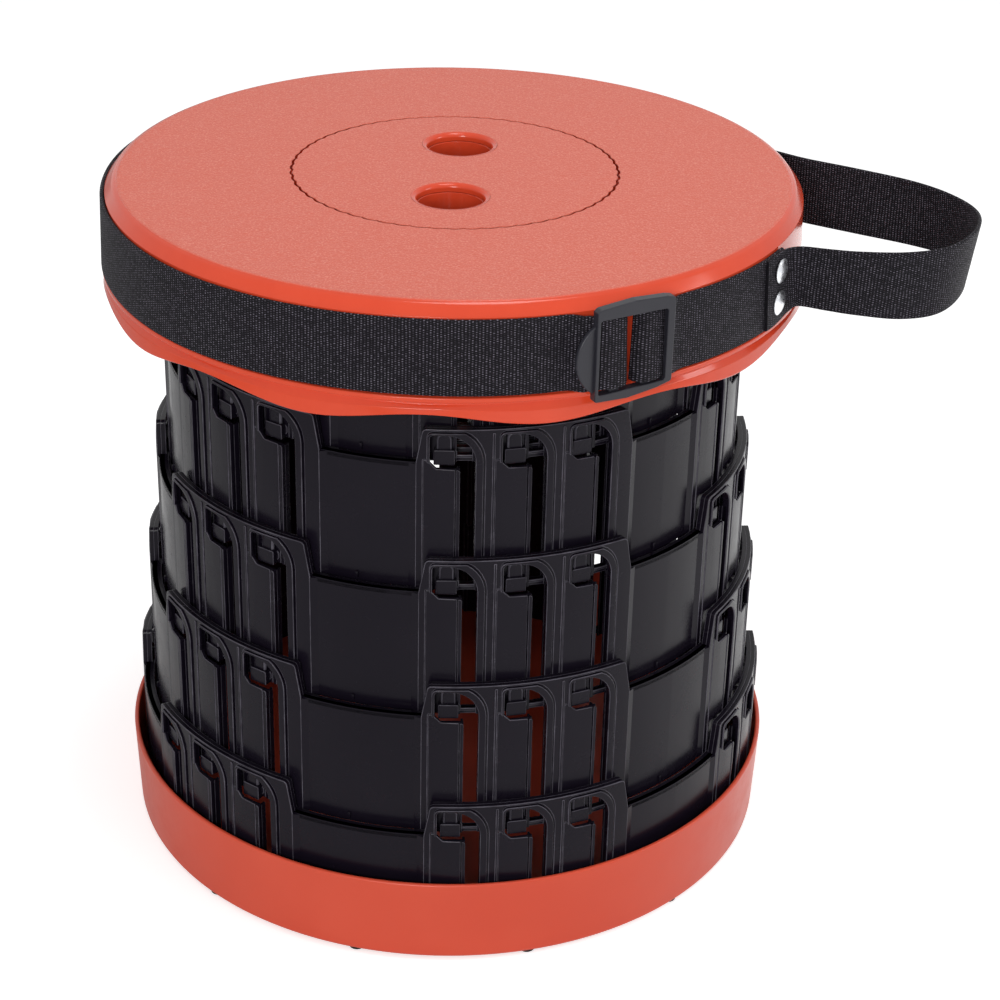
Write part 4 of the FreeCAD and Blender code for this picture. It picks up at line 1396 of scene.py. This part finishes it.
@dataclass
class CentreCap:
    """The cap in the seat's centre: lobed edge, two finger holes with rounded lips, two snap clips."""

    top: float = 262.0
    radius: float = 59.3
    lobes: int = 60
    lobe_depth: float = 0.6
    thick: float = 3.0
    lip_radius: float = 14.0
    finger_radius: float = 12.0

    def disc(self) -> Item:
        """Build the disc with its lobed edge and the two holes for the lips.

        Returns:
            The disc, with its top at z = 0.
        """
        count = self.lobes * 8
        outline = []
        for step in range(count):
            turn = FULL_TURN * step / count
            out = self.radius - self.lobe_depth * (1 - abs(math.cos(self.lobes / 2 * turn)))
            outline.append((out * math.cos(turn), out * math.sin(turn)))
        disc = plate(outline, -self.thick, 0, 0)
        cut_with(disc, [round_bar(across, up, self.lip_radius, -6, 3, 72) for across, up in FINGER_HOLES])
        bevel_edges(disc, 0.28, 2, 60)
        return disc

    def lip(self) -> Item:
        """Return one finger hole's rounded lip, centred on the axis."""
        inner, outer, low = self.finger_radius, self.lip_radius, -self.thick
        return turned(rounded([(inner, 0, 1.7), (inner, low, 0.2), (outer, low), (outer, 0)], 8), 72)

    def clip(self, side: int) -> Item:
        """Build one snap clip under the cap.

        Args:
            side: 1 for the right one, -1 for the left one.

        Returns:
            The clip, standing in its place.
        """
        outline = [(44, -2.9), (44, -9), (46, -9), (47.2, -7), (47.2, -6.3), (46, -6.3), (46, -2.9)]
        outline = [(side * across, up) for across, up in outline]
        clip = plate(outline if side < 0 else list(reversed(outline)), -4, 4, 0.15)
        return place(clip, Matrix.Rotation(math.radians(90), 4, "X"))

    def build(self) -> None:
        """Build and dress the cap."""
        lip = self.lip()
        parts = [self.disc()] + [twin(lip, Matrix.Translation((across, up, 0))) for across, up in FINGER_HOLES]
        discard(lip)
        parts += [self.clip(side) for side in SIDES]
        cap = merge("centre_cap_disc", parts)
        place(cap, Matrix.Translation((0, 0, self.top * MM)) @ Matrix.Scale(MM, 4))
        finish_mesh(cap)
        ride(cap, Body.SEAT.value, ["centre_cap"], SEAT_PLASTIC)


# Webbing, buckle and rivets


@dataclass
class Station:
    """A place along a webbing: its middle, which way its face looks and which way is across."""

    middle: Vector
    face: Vector
    across: Vector
    half_width: float


def webbing_strip(name: str, stations: Sequence[Station], thick: float) -> Item:
    """Make flat webbing with rounded selvages through its stations.

    Args:
        name: The strip's name.
        stations: The places along it, in metres.
        thick: Its thickness in metres.

    Returns:
        The strip, with a UV map in metres along and across.
    """
    half = thick / 2
    sides = 12
    shares = [-1 + 2 * step / sides for step in range(sides + 1)]
    turns = [math.radians(turn) for turn in (60, 30, 0, -30, -60)]
    selvage = [(half * 0.7 * math.cos(turn), half * math.sin(turn)) for turn in turns]
    ring: list[Triple] = [(share, 0.0, half) for share in shares] + [(1.0, past, out) for past, out in selvage]
    ring += [(-share, -past, -out) for share, past, out in ring]
    vertices: list[Vector] = []
    for place_at in stations:
        inset = place_at.half_width - half * 0.7
        for share, past, out in ring:
            vertices.append(place_at.middle + place_at.across * (share * inset + past) + place_at.face * out)
    size = len(ring)
    faces = []
    for index in range(len(stations) - 1):
        for corner in range(size):
            after = (corner + 1) % size
            here, beyond = index * size, (index + 1) * size
            faces.append((here + corner, here + after, beyond + after, beyond + corner))
    faces.append(tuple(range(size - 1, -1, -1)))
    last = (len(stations) - 1) * size
    faces.append(tuple(last + corner for corner in range(size)))
    mesh = bpy.data.meshes.new(name)
    mesh.from_pydata([tuple(v) for v in vertices], [], faces)
    item = bpy.data.objects.new(name, mesh)
    bpy.context.collection.objects.link(item)
    lengths = [0.0]
    for before, here in zip(stations, stations[1:]):
        lengths.append(lengths[-1] + (here.middle - before.middle).length)
    layer = mesh.uv_layers.new(name="weave")
    for polygon in mesh.polygons:
        for loop in polygon.loop_indices:
            vertex = mesh.loops[loop].vertex_index
            station, corner = divmod(vertex, size)
            share, past, out = ring[corner]
            side = share * (stations[station].half_width - half * 0.7) + past
            layer.data[loop].uv = (lengths[station], side + (0.05 if out < 0 else 0.0))
    in_edit_mode(item, lambda: bpy.ops.mesh.normals_make_consistent(inside=False))
    select_only(item)
    bpy.ops.object.shade_smooth_by_angle(angle=math.radians(50))
    return item


def smooth_path(points: Sequence[Sequence[float]], step: float) -> list[np.ndarray]:
    """Run a smooth curve through points of any size and sample it evenly.

    Args:
        points: The points to pass through.
        step: The spacing of the samples, measured on the first three values.

    Returns:
        The samples, each with as many values as a point has.
    """
    rows = np.array(points, dtype=float)
    rows = np.vstack((2 * rows[0] - rows[1], rows, 2 * rows[-1] - rows[-2]))
    fine = []
    for index in range(1, len(rows) - 2):
        before, here, after, beyond = rows[index - 1 : index + 3]
        for part in np.linspace(0, 1, 24, endpoint=False):
            square = (2 * before - 5 * here + 4 * after - beyond) * part**2
            cube = (3 * here - before - 3 * after + beyond) * part**3
            fine.append(0.5 * (2 * here + (after - before) * part + square + cube))
    fine.append(rows[-2])
    lengths = [0.0]
    for before, here in zip(fine, fine[1:]):
        lengths.append(lengths[-1] + float(np.linalg.norm(here[:3] - before[:3])))
    count = max(int(round(lengths[-1] / step)), 2)
    table = np.array(fine)
    wanted = np.linspace(0, lengths[-1], count + 1)
    return [np.array([np.interp(at, lengths, table[:, column]) for column in range(table.shape[1])]) for at in wanted]


@dataclass
class Belt:
    """The belt round the seat's skirt, in two runs: buckle to front rivets, and rear rivets round to the buckle.

    The humps are the runs' ends over the buckle's bars, as places across and out from its middle.
    """

    thick: float = 1.4
    width: float = 26.4
    middle_height: float = 244.2
    radius: float = 128.0
    slope: float = 0.0332
    buckle_turn: float = 26.75
    leave_turn: float = 61.9
    return_turn: float = 109.4
    pinch: float = 0.9
    pinch_turn: float = 5.6
    pinch_fade: float = 1.6
    step: float = 1.6
    right_hump: tuple[Point, ...] = (
        (0.2, 128.85), (0.4, 129.8), (1.2, 131.1), (3.0, 132.1),
        (6.2, 132.2), (8.9, 131.3), (11.2, 130.1), (14.8, 129.1),
    )
    left_hump: tuple[Point, ...] = (
        (-18.0, 129.0), (-15.4, 129.4), (-13.0, 131.2), (-10.8, 132.1), (-7.6, 132.3),
        (-4.9, 132.0), (-3.6, 131.1), (-3.3, 129.8), (-3.4, 128.85),
    )

    def local(self, across: float, out: float) -> tuple[float, float]:
        """Return the plan point of a place given across and out from the buckle's middle."""
        turn = math.radians(self.buckle_turn)
        return (across * math.cos(turn) + out * math.sin(turn), across * math.sin(turn) - out * math.cos(turn))

    def round_run(self, first: float, last: float) -> list[Triple]:
        """Draw a run round the skirt, with a slight wander.

        Args:
            first: The angle it starts at, in degrees.
            last: The angle it ends at.

        Returns:
            Plan points with their rise over the belt's middle height.
        """
        points = []
        for turn in np.linspace(first, last, max(int(abs(last - first) / 4), 3)):
            angle = math.radians(turn)
            out = self.radius + 0.10 * math.sin(7 * angle + 0.6) + 0.06 * math.sin(13 * angle)
            points.append((out * math.sin(angle), -out * math.cos(angle), 0.22 * math.sin(3 * angle + 1.1)))
        return points

    def half_width(self, x: float, y: float) -> float:
        """Return half the webbing's width, which is pinched a little between the buckle's bars."""
        away = math.degrees(math.atan2(x, -y)) - self.buckle_turn
        share = min(max((abs(away) - self.pinch_turn) / self.pinch_fade, 0.0), 1.0)
        return self.width / 2 - self.pinch * (1 - share)

    def stations(self, points: Sequence[Triple]) -> list[Station]:
        """Return the stations of one run.

        Args:
            points: Plan points with their rise over the belt's middle height, in millimetres.

        Returns:
            The run's stations.
        """
        path = smooth_path(points, self.step)
        stations = []
        for index, spot in enumerate(path):
            before = path[max(index - 1, 0)]
            after = path[min(index + 1, len(path) - 1)]
            along = Vector((after[0] - before[0], after[1] - before[1], 0)).normalized()
            face = Vector((along.y, -along.x, 0))
            across = (Vector((0, 0, 1)) - face * self.slope).normalized()
            middle = Vector((spot[0], spot[1], self.middle_height + spot[2])) * MM
            stations.append(Station(middle, face, across, self.half_width(spot[0], spot[1]) * MM))
        return stations

    def build(self) -> None:
        """Build and dress the two runs."""
        start = self.buckle_turn + math.degrees(20 / self.radius)
        stop = self.buckle_turn + 360 - math.degrees(22 / self.radius)
        right, left = ([(*self.local(*spot), 0.0) for spot in hump] for hump in (self.right_hump, self.left_hump))
        runs = {
            "belt_front_webbing": right + self.round_run(start, self.leave_turn),
            "belt_webbing": self.round_run(self.return_turn, stop) + left,
        }
        for name, points in runs.items():
            stations = self.stations(points)
            belt = webbing_strip(name, stations, self.thick * MM)
            ride(belt, Body.SEAT.value, ["belt_strap"], BELT_WEBBING)


@dataclass
class CarryLoop:
    """The carry loop: webbing that leaves the front rivets, bows out and comes back to the rear ones."""

    thick: float = 1.3
    step: float = 1.6

    def route(self) -> list[tuple[float, float, float, float, float]]:
        """Draw the loop's way from the front rivets to the rear ones.

        Returns:
            (x, y, middle height, half width, lean) along it; a lean over 0 tips the top edge into the loop.
        """
        return [
            (106.7, -72.9, 244.1, 13.0, 0.03),
            (109.3, -69.4, 244.3, 13.0, 0.03),
            (111.9, -65.1, 244.6, 12.9, 0.03),
            (114.5, -61.2, 245.2, 12.2, 0.03),
            (117.6, -58.9, 245.8, 11.2, 0.02),
            (121.5, -58.6, 245.9, 11.1, 0.0),
            (130.0, -60.8, 245.6, 11.4, 0.0),
            (140.0, -63.0, 245.4, 11.8, 0.0),
            (156.0, -62.9, 244.8, 12.6, -0.03),
            (170.2, -57.6, 245.0, 12.9, -0.08),
            (181.0, -43.6, 246.0, 12.6, -0.12),
            (186.0, -23.5, 245.6, 11.8, -0.12),
            (182.6, -4.6, 244.6, 11.9, 0.02),
            (171.4, 9.4, 243.9, 13.0, 0.10),
            (150.0, 21.6, 244.3, 12.8, 0.0),
            (134.0, 31.2, 244.2, 12.8, 0.0),
            (125.4, 37.9, 244.0, 12.9, 0.0),
            (121.9, 42.7, 243.6, 13.0, 0.05),
            (119.8, 48.3, 243.3, 13.0, 0.05),
            (117.6, 53.4, 243.3, 13.0, 0.05),
        ]

    def stations(self) -> list[Station]:
        """Work out how the loop lies along its route.

        Returns:
            The loop's stations.
        """
        path = smooth_path(self.route(), self.step)
        stations = []
        for index, spot in enumerate(path):
            before = path[max(index - 1, 0)]
            after = path[min(index + 1, len(path) - 1)]
            along = Vector(after[:3] - before[:3]).normalized()
            side = Vector((along.y, -along.x, 0)).normalized()
            up = along.cross(side)
            up = up if up.z > 0 else -up
            across = (up - side * float(spot[4])).normalized()
            face = along.cross(across)
            face = face if face.dot(side) > 0 else -face
            stations.append(Station(Vector(spot[:3]) * MM, face.normalized(), across, float(spot[3]) * MM))
        return stations

    def build(self) -> None:
        """Build and dress the loop."""
        stations = self.stations()
        loop = webbing_strip("carry_loop_webbing", stations, self.thick * MM)
        ride(loop, Body.SEAT.value, ["carry_loop"], BELT_WEBBING)


@dataclass
class Buckle:
    """The ladder buckle: frame, two cross bars and a rounded thumb tab."""

    turn: float = 26.75
    inner: float = 129.4
    thick: float = 3.4
    half: float = 15.2
    low: float = 227.6
    high: float = 260.2
    left_bar: float = 1.3
    right_bar: float = 2.8
    right_in: float = 1.3
    top_bar: float = 3.9
    low_bar: float = 2.6
    tab_reach: float = 6.4
    tab_low: float = 230.5
    tab_high: float = 254.0
    tab_steps: int = 14

    def outline(self) -> list[Point]:
        """Draw the frame's arched outside.

        Returns:
            The points, anticlockwise from the lower left.
        """
        half, low, high = self.half, self.low, self.high
        right = half - self.right_in
        bottom = [(-half, low + 0.2, 0.8), (-3.0, low - 0.2, 6.0), (7.6, low + 1.3, 6.0), (right - 0.2, low + 2.9, 1.2)]
        top = [(right, high + 0.2, 1.4), (10.8, high + 0.8, 5.0), (-1.0, high + 1.3, 8.0)]
        return rounded(bottom + top + [(-half + 1.2, high, 2.0), (-half, high - 1.0, 0.6)])

    def window(self) -> list[Point]:
        """Draw the frame's window.

        Returns:
            The points, anticlockwise from the lower left.
        """
        left, right = -self.half + self.left_bar, self.half - self.right_in - self.right_bar
        low, high = self.low + self.low_bar, self.high - self.top_bar
        return rounded([(left, low, 0.6), (right, low + 1.0, 0.9), (right, high + 0.3, 0.9), (left, high, 0.6)], 3)

    def tab(self) -> Item:
        """Build the thumb tab, a flat arc beyond the frame's left side.

        Returns:
            The tab.
        """
        span = self.tab_high - self.tab_low
        bend = ((span / 2) ** 2 + self.tab_reach**2) / (2 * self.tab_reach)
        sweep = math.asin(span / 2 / bend)
        centre = -self.half - self.tab_reach + bend
        middle = (self.tab_high + self.tab_low) / 2
        turns = np.linspace(-sweep, sweep, self.tab_steps)
        curve = [(centre - bend * math.cos(turn), middle - bend * math.sin(turn)) for turn in turns]
        root = -self.half + 1.2
        return plate([(root, self.tab_low), (root, self.tab_high)] + curve, 0.05, 1.9, 0.55, 3)

    def build(self) -> None:
        """Build and dress the buckle."""
        frame_plate = plate(self.outline(), 0, self.thick, 0)
        cut_with(frame_plate, [plate(self.window(), -2, 6, 0)])
        bevel_edges(frame_plate, 0.75, 3, 50)
        low, high = self.low + 1.6, self.high - 1.2
        bars = [box(middle - 2, middle + 2, low, high, 0.5, 2.2, 0.5) for middle in (-7.4, 4.6)]
        buckle = merge("buckle_frame", [frame_plate, self.tab()] + bars)
        place(buckle, Matrix.Scale(MM, 4) @ outward(self.turn, self.inner, 0))
        finish_mesh(buckle, 40)
        ride(buckle, Body.SEAT.value, ["belt_buckle"], BUCKLE_PLASTIC)


@dataclass
class Rivets:
    """The two pairs of domed rivets that hold the loop's ends."""

    lower: float = 239.2
    spacing: float = 11.8
    seat_out: float = 130.25
    radius: float = 4.4
    dome: float = 1.55

    def rivet(self) -> Item:
        """Build one domed head with its shank.

        Returns:
            The rivet, its axis along z.
        """
        radius, dome = self.radius, self.dome
        profile = [(0.0, dome)]
        for step in range(1, 9):
            share = step / 9
            crown = dome * math.sqrt(max(1 - (share * 0.98) ** 2, 0)) * 0.8
            profile.append((radius * 0.96 * share, crown + dome * 0.2 * (1 - share)))
        profile += [(radius, 0.30), (radius, 0.05), (radius - 0.3, -0.05), (1.5, -0.05), (1.5, -2.4), (0.0, -2.4)]
        return turned(list(reversed(profile)), 48, closed=False)

    def build(self) -> None:
        """Build and dress both pairs."""
        rivet = self.rivet()
        for name, turn in (("front", 59.5), ("rear", 111.8)):
            heights = [self.lower + step * self.spacing for step in (0, 1)]
            pair = [twin(rivet, Matrix.Scale(MM, 4) @ outward(turn, self.seat_out, height)) for height in heights]
            item = merge(f"{name}_rivets", pair)
            finish_mesh(item, 40)
            ride(item, Body.SEAT.value, [f"rivets_{name}"], RIVET_METAL)
        discard(rivet)


# Studio


@dataclass(frozen=True)
class Lamp:
    """A square soft lamp that looks at a point, with its share of the studio's watts."""

    name: str
    spot: Triple
    aim: Triple
    size: float
    share: float

    def hang(self, watts: float) -> None:
        """Hang the lamp.

        Args:
            watts: The studio's watts.
        """
        data = bpy.data.lights.new(self.name, "AREA")
        data.shape = "SQUARE"
        data.size = self.size
        data.energy = watts * self.share
        lamp = bpy.data.objects.new(self.name, data)
        bpy.context.collection.objects.link(lamp)
        lamp.location = self.spot
        lamp.rotation_euler = (Vector(self.aim) - Vector(self.spot)).to_track_quat("-Z", "Y").to_euler()


LAMPS = (
    Lamp("top_lamp", (0.15, -0.1, 1.55), (0.0, 0.0, 0.2), 0.5, 0.95),
    Lamp("right_lamp", (1.25, -0.2, 0.8), (0.0, 0.0, 0.16), 0.4, 0.5),
    Lamp("front_lamp", (-0.3, -1.6, 0.8), (0.0, 0.0, 0.14), 0.5, 1.95),
)


@dataclass
class Studio:
    """Camera, floor and soft light."""

    lens: float = 84.56
    yaw: float = 0.0236
    pitch: float = 0.4847
    roll: float = 0.0241
    stand: Triple = (0.0, -0.8133, 0.5544)
    world_level: float = 0.42
    key_watts: float = 7.5
    floor_glow: float = 0.5
    # How brightly the floor glows in reflections at its left and right: painted reflection light.
    gloss_left: float = 0.0
    gloss_right: float = 0.9

    def camera(self) -> None:
        """Set the camera as the photograph was taken."""
        level = math.cos(self.pitch)
        forward = Vector((math.sin(self.yaw) * level, math.cos(self.yaw) * level, -math.sin(self.pitch)))
        right = Vector((math.cos(self.yaw), -math.sin(self.yaw), 0))
        up = right.cross(forward)
        rolled_right = right * math.cos(self.roll) + up * math.sin(self.roll)
        rolled_up = up * math.cos(self.roll) - right * math.sin(self.roll)
        data = bpy.data.cameras.new("camera")
        data.lens = self.lens
        data.sensor_width = 36.0
        data.dof.use_dof = False
        data.clip_start = 0.01
        camera = bpy.data.objects.new("camera", data)
        bpy.context.collection.objects.link(camera)
        matrix = Matrix((rolled_right, rolled_up, -forward)).transposed().to_4x4()
        matrix.translation = Vector(self.stand)
        camera.matrix_world = matrix
        bpy.context.scene.camera = camera

    def floor(self) -> None:
        """Lay a pale plain floor that shows white to the eye and keeps the shadow, and that glows in glossy
        reflections, more to the right, as a painted reflection light.
        """
        select_only()
        bpy.ops.mesh.primitive_plane_add(size=12.0, location=(0, 0, 0))
        plane = bpy.context.object
        plane.name = "studio_floor"
        shader = Shader("studio_floor_white")
        shader.wear("Base Color", (0.86, 0.86, 0.86, 1))
        shader.wear("Roughness", 1.0)
        shader.wear("Specular IOR Level", 0.0)
        shader.wear("Emission Color", (1, 1, 1, 1))
        path = shader.node("ShaderNodeLightPath")
        seen = shader.math("MAXIMUM", path.outputs["Is Camera Ray"], path.outputs["Is Transmission Ray"])
        across, _, _ = shader.axes(shader.place())
        # Glow that only reflections see, rising to the right: painted reflection on the glossy parts.
        pool = shader.spread(across, -0.1, 0.5, self.gloss_left, self.gloss_right)
        glossy = shader.times(path.outputs["Is Glossy Ray"], pool)
        shader.wear("Emission Strength", shader.math("MAXIMUM", shader.times(seen, self.floor_glow), glossy))
        plane.data.materials.append(shader.material)

    def light(self) -> None:
        """Light the stool with an even sky, white where it is seen or mirrored, and three soft lamps."""
        world = bpy.data.worlds.new("studio_sky")
        bpy.context.scene.world = world
        world.use_nodes = True
        tree = world.node_tree
        back = tree.nodes["Background"]
        back.inputs["Color"].default_value = (1, 1, 1, 1)
        path = tree.nodes.new("ShaderNodeLightPath")
        level: Source = self.world_level
        for ray in ("Is Camera Ray", "Is Glossy Ray", "Is Transmission Ray"):
            brighter = tree.nodes.new("ShaderNodeMath")
            brighter.operation = "MAXIMUM"
            wire(tree, path.outputs[ray], brighter.inputs[0])
            wire(tree, level, brighter.inputs[1])
            level = brighter.outputs[0]
        wire(tree, level, back.inputs["Strength"])
        for lamp in LAMPS:
            lamp.hang(self.key_watts)

    def build(self) -> None:
        """Set camera, floor, light and plain colour handling."""
        self.camera()
        self.floor()
        self.light()
        bpy.context.scene.view_settings.view_transform = "Standard"


def main() -> None:
    """Build the stool piece by piece, then the studio."""
    logging.basicConfig(level=logging.INFO, format="%(message)s")
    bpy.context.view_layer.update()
    Studio().build()
    Tray().build()
    Rings().build()
    Seat().build()
    CentreCap().build()
    Belt().build()
    Buckle().build()
    Rivets().build()
    CarryLoop().build()


if __name__ == "__main__":
    main()
